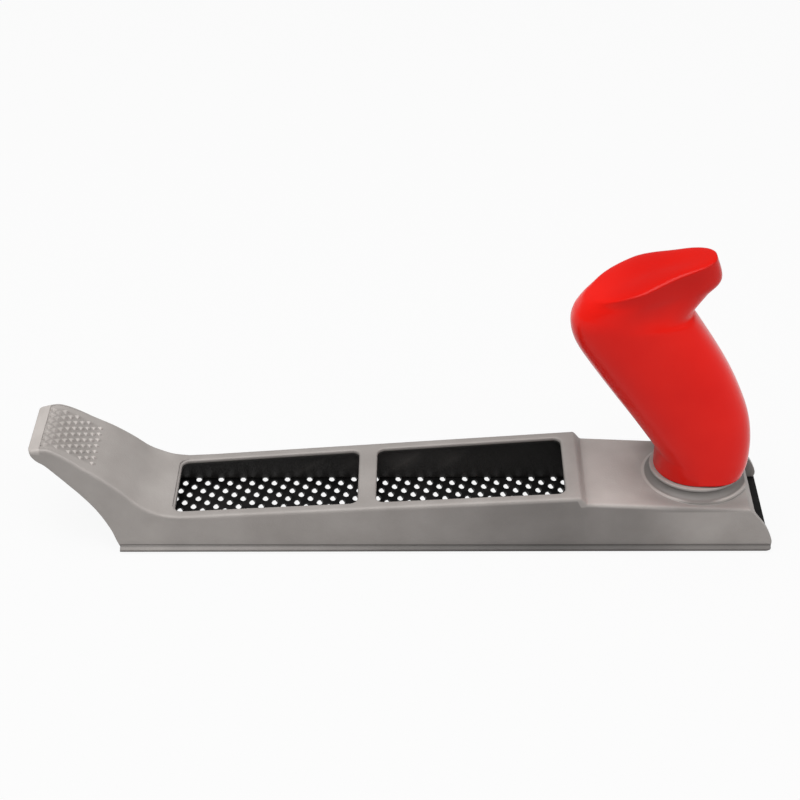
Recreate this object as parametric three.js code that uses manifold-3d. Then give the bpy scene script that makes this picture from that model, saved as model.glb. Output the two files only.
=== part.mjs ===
// A long metal rasp: an aluminium casting with a raised front horn, a moulded grip on an oval
// boss, and a punched blade that a screw under the deck pulls tight.
// Lengths are millimetres. X runs from the toe to the heel and starts at the toe end of the
// sole, Y runs across from the middle, and Z runs up from the tooth tips.

import * as THREE from 'three';
import { mergeVertices } from 'three/addons/utils/BufferGeometryUtils.js';
import Module from 'manifold-3d';

const wasm = await Module();
wasm.setup();

// Fits: the gap between pieces that touch, the play of holes, and the reach of a cutting tool.
const seatGap = 0.3;
const holePlay = 0.6;
const overrun = 2;

// Sole and walls of the casting.
const soleLength = 252.3;
const soleWidth = 44.4;
const soleLift = 0.8;
const wallThickness = 1.9;
const roofThickness = 2.2;
const cornerRadius = 1.5;
const cornerSteps = 3;
const footRibReach = 1.5;
const footRibEdge = 1;
const footRibHeight = 2;
const footRibStart = 0.6;
const footLipThickness = 1.3;

// Front horn. Its shares run from the tip to the run out, and from the frame up to the crown.
const hornReach = 31.2;
const hornHeight = 44.3;
const hornWidth = 28.2;
const hornRunOut = 24.6;
const hornWall = 3;
const hornWebThickness = 2.4;
const toeSetback = 1.2;
const hornSteps = 14;
const hornSplayPower = 2.6;
const hornTopShares = [
  [0, 0.966], [0.07, 0.993], [0.147, 0.993], [0.244, 0.902], [0.367, 0.737],
  [0.491, 0.578], [0.615, 0.383], [0.735, 0.17], [0.866, 0.042], [1, 0],
];
const hornUnderShares = [
  [0.994, 0.95], [0.917, 0.882], [0.817, 0.838], [0.718, 0.776], [0.551, 0.66],
  [0.388, 0.544], [0.221, 0.4], [0.077, 0.222], [0.013, 0.097],
];
const hornFlareShare = 0.8;
const hornPocketShares = [0.25, 0.71];

// Pips under the fingers, in staggered columns down the slope of the horn.
const pipColumns = 9;
const pipRows = 7;
const pipWidth = 2.3;
const pipHeight = 0.8;
const pipRowSpacing = 3.6;
const pipSlopeShares = [0.17, 0.39];
const pipSinkShare = 0.25;

// Window frame and the lower deck behind it.
const frameFrontHeight = 14.65;
const frameFrontWidth = 38.6;
const frameRearHeight = 25.1;
const frameRearWidth = 41.7;
const frameEndFromHeel = 74.8;
const deckStepLength = 3.5;
const deckFrontHeight = 22;
const deckRearHeight = 18.9;
const deckWidth = 41;
const deckThickness = 2.6;
const heelRake = 9.7;
const heelShares = [
  [1, 1], [0.65, 0.79], [0.289, 0.541], [0.041, 0.265], [0, 0.144], [0.07, 0.04], [0.258, 0],
];

// Windows and the cross ribs that bear on the blade.
const windowStart = 21.8;
const frontWindowLength = 71;
const windowRearMargin = 5;
const crossBarWidth = 7.2;
const windowFrontWidth = 30.4;
const windowRearWidth = 33.8;
const windowCornerRadius = 3;
const windowCornerSteps = 4;
const crossWebThickness = 2.4;
const toeWallEnd = 4;
const toeRibStart = 7;
const toeRibThickness = 2.4;
const stepRibThickness = 3;

// Oval boss under the grip, as shares of its height and of the spread of its foot.
const bossFromHeel = 28.35;
const bossTopHeight = 25.2;
const bossPlateThickness = 3.2;
const bossLedge = 0.6;
const bossFlare = 2.8;
const bossSink = 1;
const bossPocketInset = 2.8;
const bossShares = [
  [0, 1], [0.25, 0.68], [0.5, 0.18], [0.62, -0.18], [0.84, -0.18], [0.89, 0], [1, 0],
];
const ovalSegments = 28;

// Grip. Its shares run from its front to its back, and from its base to its top.
const plugLength = 34.4;
const plugWidth = 30.4;
const plugHeight = 20;
const gripLength = 71.2;
const gripHeight = 92.6;
const gripBackReach = 19.3;
const gripBaseWidth = 30;
const gripTopWidth = 26.4;
const gripCrownRise = 1.5;
const gripBow = 1.6;
const gripBowStartShare = 0.6;
const gripSteps = 18;
const gripSegments = 24;
const gripSquareness = 2.4;
const gripFrontShares = [
  [0.581, 0.005], [0.539, 0.054], [0.463, 0.149], [0.343, 0.285], [0.226, 0.413],
  [0.111, 0.543], [0.038, 0.632], [0.007, 0.691], [0, 0.738], [0.011, 0.775],
  [0.03, 0.802], [0.046, 0.82], [0.064, 0.836], [0.09, 0.851],
];
const gripBackShares = [
  [0.982, 0.005], [0.999, 0.059], [0.997, 0.167], [0.971, 0.275], [0.92, 0.379],
  [0.861, 0.476], [0.792, 0.571], [0.709, 0.673], [0.64, 0.754], [0.614, 0.781],
  [0.634, 0.812], [0.691, 0.877], [0.746, 0.935], [0.712, 1.027],
];
const gripBeakShare = 0.28;
const gripBeakStartShares = [0.6, 0.95];
const gripPinchShares = [0.35, 0.75];
const gripCrownShares = [[0.015, 0.3], [0.05, 0.55], [0.3, 1]];
const plugShares = [[0, 1], [0.7, 1], [1, 0.93]];

// Screws and washers that hold the grip from beneath the deck.
const gripScrewSpacing = 17.2;
const gripScrewDiameter = 5;
const gripScrewLength = 24;
const gripScrewHeadDiameter = 9;
const gripScrewHeadHeight = 3.2;
const gripWasherDiameter = 10.4;
const washerThickness = 1;
const pilotHoleSpare = 2;

// Blade: a punched sheet that lies in a rebate under the walls. Every row of holes is shifted
// along from the last.
const bladeThickness = 0.7;
const toothDrop = 0.5;
const toothLean = 0.45;
const bladeSidePlay = 0.3;
const bladeHookWidth = 22;
const bladeHookHeight = 6;
const holePitch = 9.02;
const holeRowSpacing = 2.42;
const holeRowShift = 3.79;
const holeLength = 1.9;
const holeWidth = 3;
const holeRows = 17;
const firstHoleX = 17.88;
const firstRowMargin = 2.1;

// Blade tension: a screw through the heel bulkhead pulls a hook plate with two tongues.
const bulkheadFromHeel = 18;
const bulkheadThickness = 3.4;
const tensionAxisHeight = 8;
const tensionScrewDiameter = 5;
const tensionScrewReach = 32;
const tensionHeadDiameter = 8.8;
const tensionHeadLength = 4;
const driverSlotWidth = 1.2;
const driverSlotDepth = 1.6;
const tensionWasherDiameter = 10;
const clipDiameter = 9.2;
const clipThickness = 1;
const clipGrooveDepth = 0.5;
const clipMouthWidth = 3.6;
const nutWidth = 8;
const nutThickness = 4;
const hookFromBulkhead = 13;
const hookPlateThickness = 2.5;
const hookPlateWidth = 28;
const hookPlateHeight = 13;
const hookFootLength = 11;
const hookTravel = 4;
const tongueWidth = 8;
const tongueSpacing = 18;
const tonguePlay = 1;
const roundSegments = 12;

// Heights and places that several pieces share.
const soleHalf = soleWidth / 2;
const bladeBottom = toothDrop;
const bladeTop = bladeBottom + bladeThickness;
const ribFoot = bladeTop + seatGap;
const rebateHalf = soleHalf + footRibReach - footLipThickness;
const bladeHalf = rebateHalf - bladeSidePlay;
const bladeToe = toeRibStart - seatGap - bladeThickness;
const frameLength = soleLength - frameEndFromHeel;
const rearWindowStart = windowStart + frontWindowLength + crossBarWidth;
const rearWindowLength = frameLength - windowRearMargin - rearWindowStart;
const bossX = soleLength - bossFromHeel;
const deckStart = frameLength + deckStepLength;
const deckEnd = soleLength - heelRake;
const bossCeiling = bossTopHeight - bossPlateThickness;
const gripBase = bossTopHeight + seatGap;
const bulkheadStart = soleLength - bulkheadFromHeel;
const bulkheadEnd = bulkheadStart + bulkheadThickness;
const hookFaceX = bulkheadStart - hookFromBulkhead;
const gripScrewPlaces = [bossX - gripScrewSpacing / 2, bossX + gripScrewSpacing / 2];
const frameStationShares = [0.25, 0.5, 0.75];
const frameStations = frameStationShares.map((share) => between(hornRunOut, frameLength, share));
const above = Math.max(hornHeight, frameRearHeight, deckFrontHeight) + overrun;

const castAluminium = new THREE.MeshStandardMaterial({ color: 0x8f8b88, roughness: 0.5, metalness: 0.7 });
const redMoulding = new THREE.MeshStandardMaterial({ color: 0xd0201c, roughness: 0.25, metalness: 0 });
const blackSteel = new THREE.MeshStandardMaterial({ color: 0x161616, roughness: 0.4, metalness: 0.6 });
const platedSteel = new THREE.MeshStandardMaterial({ color: 0xb4b6b8, roughness: 0.35, metalness: 0.9 });

function between(start, end, share) {
  return start + (end - start) * share;
}

function toSolid(geometry) {
  const bare = geometry.clone();
  bare.deleteAttribute('normal');
  bare.deleteAttribute('uv');
  const merged = mergeVertices(bare);
  return new wasm.Manifold(new wasm.Mesh({
    numProp: 3,
    vertProperties: new Float32Array(merged.attributes.position.array),
    triVerts: new Uint32Array(merged.index.array),
  }));
}

function toGeometry(solid) {
  const mesh = solid.getMesh();
  const geometry = new THREE.BufferGeometry();
  geometry.setAttribute('position', new THREE.BufferAttribute(mesh.vertProperties, 3));
  geometry.setIndex(new THREE.BufferAttribute(mesh.triVerts, 1));
  geometry.computeVertexNormals();
  return geometry;
}

// A solid through rings of equal count that turn left about the way they travel.
function ringSolid(rings) {
  const count = rings[0].length;
  const points = rings.flat();
  const faces = [];
  for (let start = 0; start < points.length - count; start += count) {
    for (let k = 0; k < count; k += 1) {
      const a = start + k;
      const b = start + ((k + 1) % count);
      faces.push(a, b, b + count, a, b + count, a + count);
    }
  }
  const last = points.length - count;
  const middles = [rings[0], rings[rings.length - 1]].map(ringCentre);
  for (let k = 0; k < count; k += 1) {
    const next = (k + 1) % count;
    faces.push(points.length, next, k, points.length + 1, last + k, last + next);
  }
  const geometry = new THREE.BufferGeometry().setFromPoints([...points, ...middles]);
  geometry.setIndex(faces);
  return toSolid(geometry);
}

function ringCentre(ring) {
  const centre = new THREE.Vector3();
  ring.forEach((point) => centre.add(point));
  return centre.divideScalar(ring.length);
}

function box(low, high) {
  const size = high.map((value, axis) => value - low[axis]);
  const middle = high.map((value, axis) => (value + low[axis]) / 2);
  return toSolid(new THREE.BoxGeometry(...size).translate(...middle));
}

function cylinderZ(radius, low, high, x, y) {
  const geometry = new THREE.CylinderGeometry(radius, radius, high - low, roundSegments);
  return toSolid(geometry.rotateX(Math.PI / 2).translate(x, y, (low + high) / 2));
}

function cylinderX(radius, low, high, z) {
  const geometry = new THREE.CylinderGeometry(radius, radius, high - low, roundSegments);
  return toSolid(geometry.rotateZ(-Math.PI / 2).translate((low + high) / 2, 0, z));
}

// A side outline of [x, z] points drawn through the whole width.
function acrossPrism(outline, half) {
  const shape = new THREE.Shape(outline.map(([x, z]) => new THREE.Vector2(x, z)));
  const geometry = new THREE.ExtrudeGeometry(shape, { depth: half * 2, bevelEnabled: false });
  return toSolid(geometry.rotateX(Math.PI / 2).translate(0, half, 0));
}

// An end outline of [y, z] points drawn along X.
function alongPrism(outline, start, end) {
  const shape = new THREE.Shape(outline.map(([y, z]) => new THREE.Vector2(y, z)));
  const geometry = new THREE.ExtrudeGeometry(shape, { depth: end - start, bevelEnabled: false });
  const turn = new THREE.Matrix4().set(0, 0, 1, start, 1, 0, 0, 0, 0, 1, 0, 0, 0, 0, 0, 1);
  return toSolid(geometry.applyMatrix4(turn));
}

// One cross-section of the casting: straight leaning sides and rounded shoulders.
function castingRing({ top, low, topHalf, lowHalf, radius }) {
  const height = top.distanceTo(low);
  const shoulder = new THREE.QuadraticBezierCurve(
    new THREE.Vector2(between(topHalf, lowHalf, radius / height), height - radius),
    new THREE.Vector2(topHalf, height),
    new THREE.Vector2(topHalf - radius, height),
  );
  const right = [new THREE.Vector2(lowHalf, 0), ...shoulder.getPoints(cornerSteps)];
  const left = right.map((point) => new THREE.Vector2(-point.x, point.y)).reverse();
  return [...right, ...left].map((point) => {
    const place = low.clone().lerp(top, point.y / height);
    return new THREE.Vector3(place.x, point.x, place.y);
  });
}

const hornTopCurve = new THREE.SplineCurve(hornTopShares.map(([along, up]) => new THREE.Vector2(
  between(-hornReach, hornRunOut, along),
  between(frameFrontHeight, hornHeight, up),
)));

const hornUnderCurve = new THREE.SplineCurve([
  ...hornUnderShares.map(([along, up]) => new THREE.Vector2(-hornReach * along, hornHeight * up)),
  new THREE.Vector2(toeSetback, soleLift),
]);

function hornStation(share) {
  const top = hornTopCurve.getPoint(share);
  const low = hornUnderCurve.getPoint(share);
  const along = (top.x + hornReach) / (hornRunOut + hornReach);
  const topHalf = between(hornWidth, frameFrontWidth, Math.min(along / hornFlareShare, 1)) / 2;
  const drop = 1 - low.y / hornHeight;
  return {
    top,
    low,
    topHalf,
    lowHalf: between(topHalf, soleHalf, drop ** hornSplayPower),
    radius: Math.min(cornerRadius, top.distanceTo(low) / 2),
  };
}

function uprightStation(x, height, width) {
  return {
    top: new THREE.Vector2(x, height),
    low: new THREE.Vector2(x, soleLift),
    topHalf: width / 2,
    lowHalf: soleHalf,
    radius: cornerRadius,
  };
}

function frameShare(x) {
  return (x - hornRunOut) / (frameLength - hornRunOut);
}

function frameHeight(x) {
  return between(frameFrontHeight, frameRearHeight, frameShare(x));
}

function frameWidth(x) {
  return between(frameFrontWidth, frameRearWidth, frameShare(x));
}

function deckHeight(x) {
  return between(deckFrontHeight, deckRearHeight, (x - deckStart) / (deckEnd - deckStart));
}

function castingHull() {
  const stations = [];
  for (let step = 0; step <= hornSteps; step += 1) {
    stations.push(hornStation(step / hornSteps));
  }
  for (const x of [...frameStations, frameLength]) {
    stations.push(uprightStation(x, frameHeight(x), frameWidth(x)));
  }
  for (const x of [deckStart, soleLength + overrun]) {
    stations.push(uprightStation(x, deckHeight(x), deckWidth));
  }
  return ringSolid(stations.map(castingRing));
}

function footRib(side) {
  const outer = soleHalf + footRibReach;
  const outline = [
    [soleHalf - wallThickness / 2, soleLift],
    [outer, soleLift],
    [outer, soleLift + footRibEdge],
    [soleHalf - wallThickness / 2, soleLift + footRibHeight],
  ].map(([y, z]) => [y * side, z]);
  return alongPrism(outline, footRibStart, soleLength + overrun);
}

// The casting ends on one sloping outline, from the deck down to a rounded foot.
function heelCut() {
  const outline = heelShares.map(([along, up]) => [
    soleLength - heelRake * along,
    between(soleLift, deckRearHeight, up),
  ]);
  const [first, last] = [outline[0], outline[outline.length - 1]];
  const clear = soleLength + heelRake;
  outline.unshift([first[0], above]);
  outline.push([last[0], -overrun], [clear, -overrun], [clear, above]);
  return acrossPrism(outline, soleWidth);
}

function cavityRing(x, roof, topWidth) {
  const low = soleLift - overrun;
  const innerTop = topWidth / 2 - wallThickness;
  const innerSole = soleHalf - wallThickness;
  const spread = (innerSole - innerTop) / (roof - soleLift);
  return castingRing({
    top: new THREE.Vector2(x, roof),
    low: new THREE.Vector2(x, low),
    topHalf: innerTop,
    lowHalf: innerSole + spread * overrun,
    radius: cornerRadius,
  });
}

// The open channel under the roof, less the cross ribs that stay in it.
function channelCavity() {
  const frontRoof = frameFrontHeight - roofThickness;
  const stepX = frameLength - roofThickness;
  const clear = soleLength + overrun;
  const channel = ringSolid([
    cavityRing(toeWallEnd, frontRoof, frameFrontWidth),
    ...[hornRunOut, ...frameStations, stepX].map((x) => cavityRing(
      x,
      frameHeight(x) - roofThickness,
      frameWidth(x),
    )),
    cavityRing(stepX + deckStepLength, deckFrontHeight - deckThickness, deckWidth),
    cavityRing(clear, deckHeight(clear) - deckThickness, deckWidth),
  ]);
  const webX = windowStart + frontWindowLength + (crossBarWidth - crossWebThickness) / 2;
  const ribs = [
    [toeRibStart, toeRibThickness],
    [webX, crossWebThickness],
    [stepX, stepRibThickness],
    [bulkheadStart, bulkheadThickness],
  ];
  return ribs.reduce((cavity, rib) => cavity.subtract(crossRib(...rib)), channel);
}

// A rib from wall to wall that ends just above the blade.
function crossRib(start, thickness) {
  return box([start, -soleWidth, ribFoot], [start + thickness, soleWidth, above]);
}

// The step inside the foot lips, where the edges of the blade lie under the walls.
function bladeRebate() {
  return box(
    [bladeToe - seatGap, -rebateHalf, -overrun],
    [soleLength + overrun, rebateHalf, ribFoot],
  );
}

// A rounded window that widens towards the heel with the frame.
function windowCut(start, length) {
  const radius = windowCornerRadius;
  const end = start + length;
  const points = [];
  const corners = [[start, -1], [end, -1], [end, 1], [start, 1]];
  corners.forEach(([x, side], index) => {
    const half = windowHalf(x);
    const centreX = x === start ? start + radius : end - radius;
    const centreY = side * (half - radius);
    for (let step = 0; step <= windowCornerSteps; step += 1) {
      const angle = Math.PI + (index + step / windowCornerSteps) * (Math.PI / 2);
      points.push(new THREE.Vector2(
        centreX + radius * Math.cos(angle),
        centreY + radius * Math.sin(angle),
      ));
    }
  });
  const low = frameFrontHeight - roofThickness - overrun;
  const geometry = new THREE.ExtrudeGeometry(new THREE.Shape(points), {
    depth: above - low,
    bevelEnabled: false,
  });
  return toSolid(geometry.translate(0, 0, low));
}

function windowHalf(x) {
  const share = (x - windowStart) / (frameLength - windowRearMargin - windowStart);
  return between(windowFrontWidth, windowRearWidth, share) / 2;
}

// Two pockets under the horn, one on each side of a middle web.
function hornPocket(side) {
  const rings = [];
  for (let step = 0; step <= hornSteps; step += 1) {
    const station = hornStation(between(...hornPocketShares, step / hornSteps));
    const height = station.top.distanceTo(station.low);
    const top = station.top.clone().lerp(station.low, hornWall / height);
    const low = station.low.clone().lerp(station.top, -overrun / height);
    const inner = (hornWebThickness / 2) * side;
    const corners = [
      [low, (station.lowHalf - hornWall) * side],
      [top, (station.topHalf - hornWall) * side],
      [top, inner],
      [low, inner],
    ].map(([place, y]) => new THREE.Vector3(place.x, y, place.y));
    rings.push(side > 0 ? corners : corners.reverse());
  }
  return ringSolid(rings);
}

function ovalRing(halfLength, halfWidth, z) {
  return Array.from({ length: ovalSegments }, (_, step) => {
    const angle = (step / ovalSegments) * Math.PI * 2;
    return new THREE.Vector3(bossX + halfLength * Math.cos(angle), halfWidth * Math.sin(angle), z);
  });
}

function boss() {
  const foot = deckHeight(bossX) - bossSink;
  return ringSolid(bossShares.map(([up, out]) => ovalRing(
    plugLength / 2 + bossLedge + bossFlare * out,
    plugWidth / 2 + bossLedge + bossFlare * out,
    between(foot, bossTopHeight, up),
  )));
}

function bossPocket() {
  const halfLength = plugLength / 2 - bossPocketInset;
  const halfWidth = plugWidth / 2 - bossPocketInset;
  const low = deckHeight(bossX) - deckThickness - overrun;
  return ringSolid([ovalRing(halfLength, halfWidth, low), ovalRing(halfLength, halfWidth, bossCeiling)]);
}

function pips() {
  const list = [];
  for (let column = 0; column < pipColumns; column += 1) {
    const share = between(...pipSlopeShares, column / (pipColumns - 1));
    const place = hornTopCurve.getPoint(share);
    const slope = hornTopCurve.getTangent(share).angle();
    const rows = pipRows - (column % 2);
    for (let row = 0; row < rows; row += 1) {
      const pip = new THREE.ConeGeometry(pipWidth / Math.SQRT2, pipHeight, 4);
      pip.rotateY(Math.PI / 4).rotateX(Math.PI / 2);
      pip.translate(0, 0, pipHeight * (1 / 2 - pipSinkShare));
      pip.rotateY(-slope);
      pip.translate(place.x, (row - (rows - 1) / 2) * pipRowSpacing, place.y);
      list.push(toSolid(pip));
    }
  }
  return wasm.Manifold.union(list);
}

function bodyCasting() {
  const screwHoles = gripScrewPlaces.map((x) => cylinderZ(
    (gripScrewDiameter + holePlay) / 2,
    bossCeiling - overrun,
    bossTopHeight + overrun,
    x,
    0,
  ));
  const tensionHole = cylinderX(
    (tensionScrewDiameter + holePlay) / 2,
    bulkheadStart - overrun,
    bulkheadEnd + overrun,
    tensionAxisHeight,
  );
  const solid = wasm.Manifold.union([castingHull(), footRib(1), footRib(-1), boss(), pips()]);
  const cuts = wasm.Manifold.union([
    heelCut(),
    channelCavity(),
    bladeRebate(),
    windowCut(windowStart, frontWindowLength),
    windowCut(rearWindowStart, rearWindowLength),
    hornPocket(1),
    hornPocket(-1),
    bossPocket(),
    ...screwHoles,
    tensionHole,
  ]);
  return toGeometry(solid.subtract(cuts));
}

function gripPoint([along, up]) {
  const front = bossX + gripBackReach - gripLength;
  return new THREE.Vector2(front + gripLength * along, gripBase + gripHeight * up);
}

function signedPower(value, power) {
  return Math.sign(value) * Math.abs(value) ** power;
}

// One leaning section of the grip. Towards the beak it is drawn in at the back and bows up.
function gripRing(front, back, share) {
  const half = between(gripBaseWidth, gripTopWidth, share) / 2;
  const bow = gripBow * THREE.MathUtils.smoothstep(share, gripBowStartShare, 1);
  const beak = gripBeakShare * THREE.MathUtils.smoothstep(share, ...gripBeakStartShares);
  return Array.from({ length: gripSegments }, (_, step) => {
    const angle = (step / gripSegments) * Math.PI * 2;
    const along = (1 + signedPower(Math.cos(angle), 2 / gripSquareness)) / 2;
    const pinch = 1 - beak * THREE.MathUtils.smoothstep(along, ...gripPinchShares);
    const place = front.clone().lerp(back, along);
    const y = half * pinch * signedPower(Math.sin(angle), 2 / gripSquareness);
    const arch = 4 * along * (1 - along);
    return new THREE.Vector3(place.x, y, place.y + bow * arch);
  });
}

function grip() {
  const frontCurve = new THREE.SplineCurve(gripFrontShares.map(gripPoint));
  const backCurve = new THREE.SplineCurve(gripBackShares.map(gripPoint));
  const rings = [];
  for (let step = 0; step <= gripSteps; step += 1) {
    const share = step / gripSteps;
    rings.push(gripRing(frontCurve.getPoint(share), backCurve.getPoint(share), share));
  }
  const rim = rings[rings.length - 1];
  const centre = ringCentre(rim);
  for (const [inward, up] of gripCrownShares) {
    const rise = new THREE.Vector3(0, 0, gripCrownRise * up);
    rings.push(rim.map((point) => point.clone().lerp(centre, inward).add(rise)));
  }
  const plug = ringSolid(plugShares.map(([up, out]) => ovalRing(
    (plugLength / 2) * out,
    (plugWidth / 2) * out,
    gripBase + plugHeight * up,
  )));
  const holes = gripScrewPlaces.map((x) => cylinderZ(
    (gripScrewDiameter + holePlay) / 2,
    gripBase - overrun,
    gripScrewSeat() + gripScrewLength + pilotHoleSpare,
    x,
    0,
  ));
  return toGeometry(ringSolid(rings).add(plug).subtract(wasm.Manifold.union(holes)));
}

function gripScrewSeat() {
  return bossCeiling - seatGap - washerThickness - seatGap;
}

// A headed screw along its own Z axis: the head hangs below zero and the shank rises.
function gripScrew() {
  const profile = [
    [0, -gripScrewHeadHeight],
    [gripScrewHeadDiameter / 2, -gripScrewHeadHeight],
    [gripScrewHeadDiameter / 2, 0],
    [gripScrewDiameter / 2, 0],
    [gripScrewDiameter / 2, gripScrewLength - gripScrewDiameter / 2],
    [0, gripScrewLength],
  ];
  return lathe(profile);
}

function lathe(profile) {
  const points = profile.map(([radius, along]) => new THREE.Vector2(radius, along));
  const geometry = new THREE.LatheGeometry(points, roundSegments);
  return toGeometry(toSolid(geometry.rotateX(Math.PI / 2)));
}

function washer(diameter, hole) {
  return lathe([
    [hole / 2, 0],
    [diameter / 2, 0],
    [diameter / 2, washerThickness],
    [hole / 2, washerThickness],
    [hole / 2, 0],
  ]);
}

// The blade sheet as one mesh of skewed cells. The rim of each hole is pushed down on its heel
// side, which makes a raised tooth that cuts towards the toe, and bent up to an edge on its toe
// side, where the shavings enter.
function punchedSheet() {
  const stepA = new THREE.Vector2(holeRowShift, -holeRowSpacing);
  const stepB = new THREE.Vector2(2 * holeRowShift - holePitch, -2 * holeRowSpacing);
  const origin = new THREE.Vector2(firstHoleX, bladeHalf - firstRowMargin);
  const points = [];
  const faces = [];
  const known = new Map();
  const cells = new Map();
  const centreOf = (i, j) => origin.clone().addScaledVector(stepA, i).addScaledVector(stepB, j);

  function corner(i, j, z) {
    const key = `${i},${j},${z}`;
    if (!known.has(key)) {
      const place = centreOf(i - 1 / 2, j - 1 / 2);
      known.set(key, points.length);
      points.push(new THREE.Vector3(place.x, place.y, z));
    }
    return known.get(key);
  }

  function cellCorners(i, j, z) {
    return [corner(i + 1, j, z), corner(i, j, z), corner(i, j + 1, z), corner(i + 1, j + 1, z)];
  }

  function addPoint(x, y, z) {
    points.push(new THREE.Vector3(x, y, z));
    return points.length - 1;
  }

  function addFace(a, b, c) {
    if (a !== b && b !== c && c !== a) {
      faces.push(a, b, c);
    }
  }

  function addBand(outer, inner) {
    outer.forEach((point, k) => {
      const n = (k + 1) % outer.length;
      addFace(point, outer[n], inner[n]);
      addFace(point, inner[n], inner[k]);
    });
  }

  const reach = Math.ceil(soleLength / holePitch) * 3;
  for (let j = -reach; j <= reach; j += 1) {
    for (let i = -reach * 2; i <= reach * 2; i += 1) {
      const centre = centreOf(i, j);
      const inLength = centre.x > -holePitch && centre.x < soleLength + holePitch;
      if (inLength && Math.abs(centre.y) < bladeHalf + 2 * holeRowSpacing) {
        cells.set(`${i},${j}`, { i, j, centre });
      }
    }
  }

  for (const { i, j, centre } of cells.values()) {
    const upper = cellCorners(i, j, bladeTop);
    const lower = cellCorners(i, j, bladeBottom);
    const row = i + 2 * j;
    const punched = row >= 0 && row < holeRows && centre.x > firstHoleX - holePitch / 2;
    if (punched) {
      const heelX = centre.x + holeLength / 2;
      const toeX = centre.x - holeLength / 2;
      const [farY, nearY] = [centre.y + holeWidth / 2, centre.y - holeWidth / 2];
      const upperHole = [
        addPoint(heelX, farY, bladeTop),
        addPoint(toeX, farY, bladeTop),
        addPoint(toeX, nearY, bladeTop),
        addPoint(heelX, nearY, bladeTop),
      ];
      const toothTip = [farY, nearY].map((y) => addPoint(heelX - toothLean, y, bladeBottom - toothDrop));
      const lowerHole = [toothTip[0], upperHole[1], upperHole[2], toothTip[1]];
      addBand(upper, upperHole);
      addBand(upperHole, lowerHole);
      addBand([...lower].reverse(), [...lowerHole].reverse());
    } else {
      faces.push(upper[0], upper[1], upper[2], upper[0], upper[2], upper[3]);
      faces.push(lower[0], lower[2], lower[1], lower[0], lower[3], lower[2]);
    }
    const neighbours = [[0, -1], [-1, 0], [0, 1], [1, 0]];
    neighbours.forEach(([di, dj], k) => {
      if (!cells.has(`${i + di},${j + dj}`)) {
        const n = (k + 1) % 4;
        faces.push(upper[n], upper[k], lower[k], upper[n], lower[k], lower[n]);
      }
    });
  }
  const geometry = new THREE.BufferGeometry().setFromPoints(points);
  geometry.setIndex(faces);
  return toSolid(geometry);
}

function tongueBox(side, start, end, low, high, width) {
  const middle = (tongueSpacing / 2) * side;
  return box([start, middle - width / 2, low], [end, middle + width / 2, high]);
}

function blade() {
  const trim = box(
    [bladeToe, -bladeHalf, -overrun],
    [soleLength, bladeHalf, bladeTop + overrun],
  );
  const hook = box(
    [bladeToe, -bladeHookWidth / 2, bladeBottom],
    [bladeToe + bladeThickness, bladeHookWidth / 2, bladeBottom + bladeHookHeight],
  );
  const slots = [-1, 1].map((side) => tongueBox(
    side,
    hookFaceX - hookPlateThickness - hookTravel - seatGap,
    hookFaceX + seatGap,
    -overrun,
    bladeTop + overrun,
    tongueWidth + tonguePlay,
  ));
  const sheet = punchedSheet().simplify().intersect(trim);
  return toGeometry(sheet.add(hook).subtract(wasm.Manifold.union(slots)));
}

// An upright plate on a foot, with two tongues that reach down into the slots of the blade.
function hookPlate() {
  const start = hookFaceX - hookPlateThickness;
  const footTop = tensionAxisHeight - nutWidth / 2 - seatGap;
  const half = hookPlateWidth / 2;
  const plate = box([start, -half, ribFoot], [hookFaceX, half, hookPlateHeight]);
  const foot = box([start - hookFootLength, -half, ribFoot], [hookFaceX, half, footTop]);
  const tongues = [-1, 1].map((side) => tongueBox(
    side,
    start,
    hookFaceX,
    bladeBottom,
    ribFoot + seatGap,
    tongueWidth,
  ));
  const hole = cylinderX(
    (tensionScrewDiameter + holePlay) / 2,
    start - overrun,
    hookFaceX + overrun,
    tensionAxisHeight,
  );
  return toGeometry(wasm.Manifold.union([plate, foot, ...tongues]).subtract(hole));
}

function squareNut() {
  const end = hookFaceX - hookPlateThickness - seatGap;
  const start = end - nutThickness;
  const half = nutWidth / 2;
  const block = box(
    [start, -half, tensionAxisHeight - half],
    [end, half, tensionAxisHeight + half],
  );
  return toGeometry(block.subtract(cylinderX(
    (tensionScrewDiameter + holePlay) / 2,
    start - overrun,
    end + overrun,
    tensionAxisHeight,
  )));
}

function clipStart() {
  return bulkheadStart - seatGap - clipThickness;
}

function tensionScrew() {
  const seat = bulkheadEnd + seatGap + washerThickness + seatGap;
  const radius = tensionScrewDiameter / 2;
  const groove = radius - clipGrooveDepth;
  const grooveStart = clipStart() - seatGap;
  const grooveEnd = bulkheadStart - seatGap / 2;
  const tip = seat - tensionScrewReach;
  const turned = toSolid(lathe([
    [0, tip],
    [radius, tip + radius / 2],
    [radius, grooveStart],
    [groove, grooveStart],
    [groove, grooveEnd],
    [radius, grooveEnd],
    [radius, seat],
    [tensionHeadDiameter / 2, seat],
    [tensionHeadDiameter / 2, seat + tensionHeadLength],
    [0, seat + tensionHeadLength],
  ]).rotateY(Math.PI / 2).translate(0, 0, tensionAxisHeight));
  const end = seat + tensionHeadLength;
  const slot = box(
    [end - driverSlotDepth, -soleHalf, tensionAxisHeight - driverSlotWidth / 2],
    [end + overrun, soleHalf, tensionAxisHeight + driverSlotWidth / 2],
  );
  return toGeometry(turned.subtract(slot));
}

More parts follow.
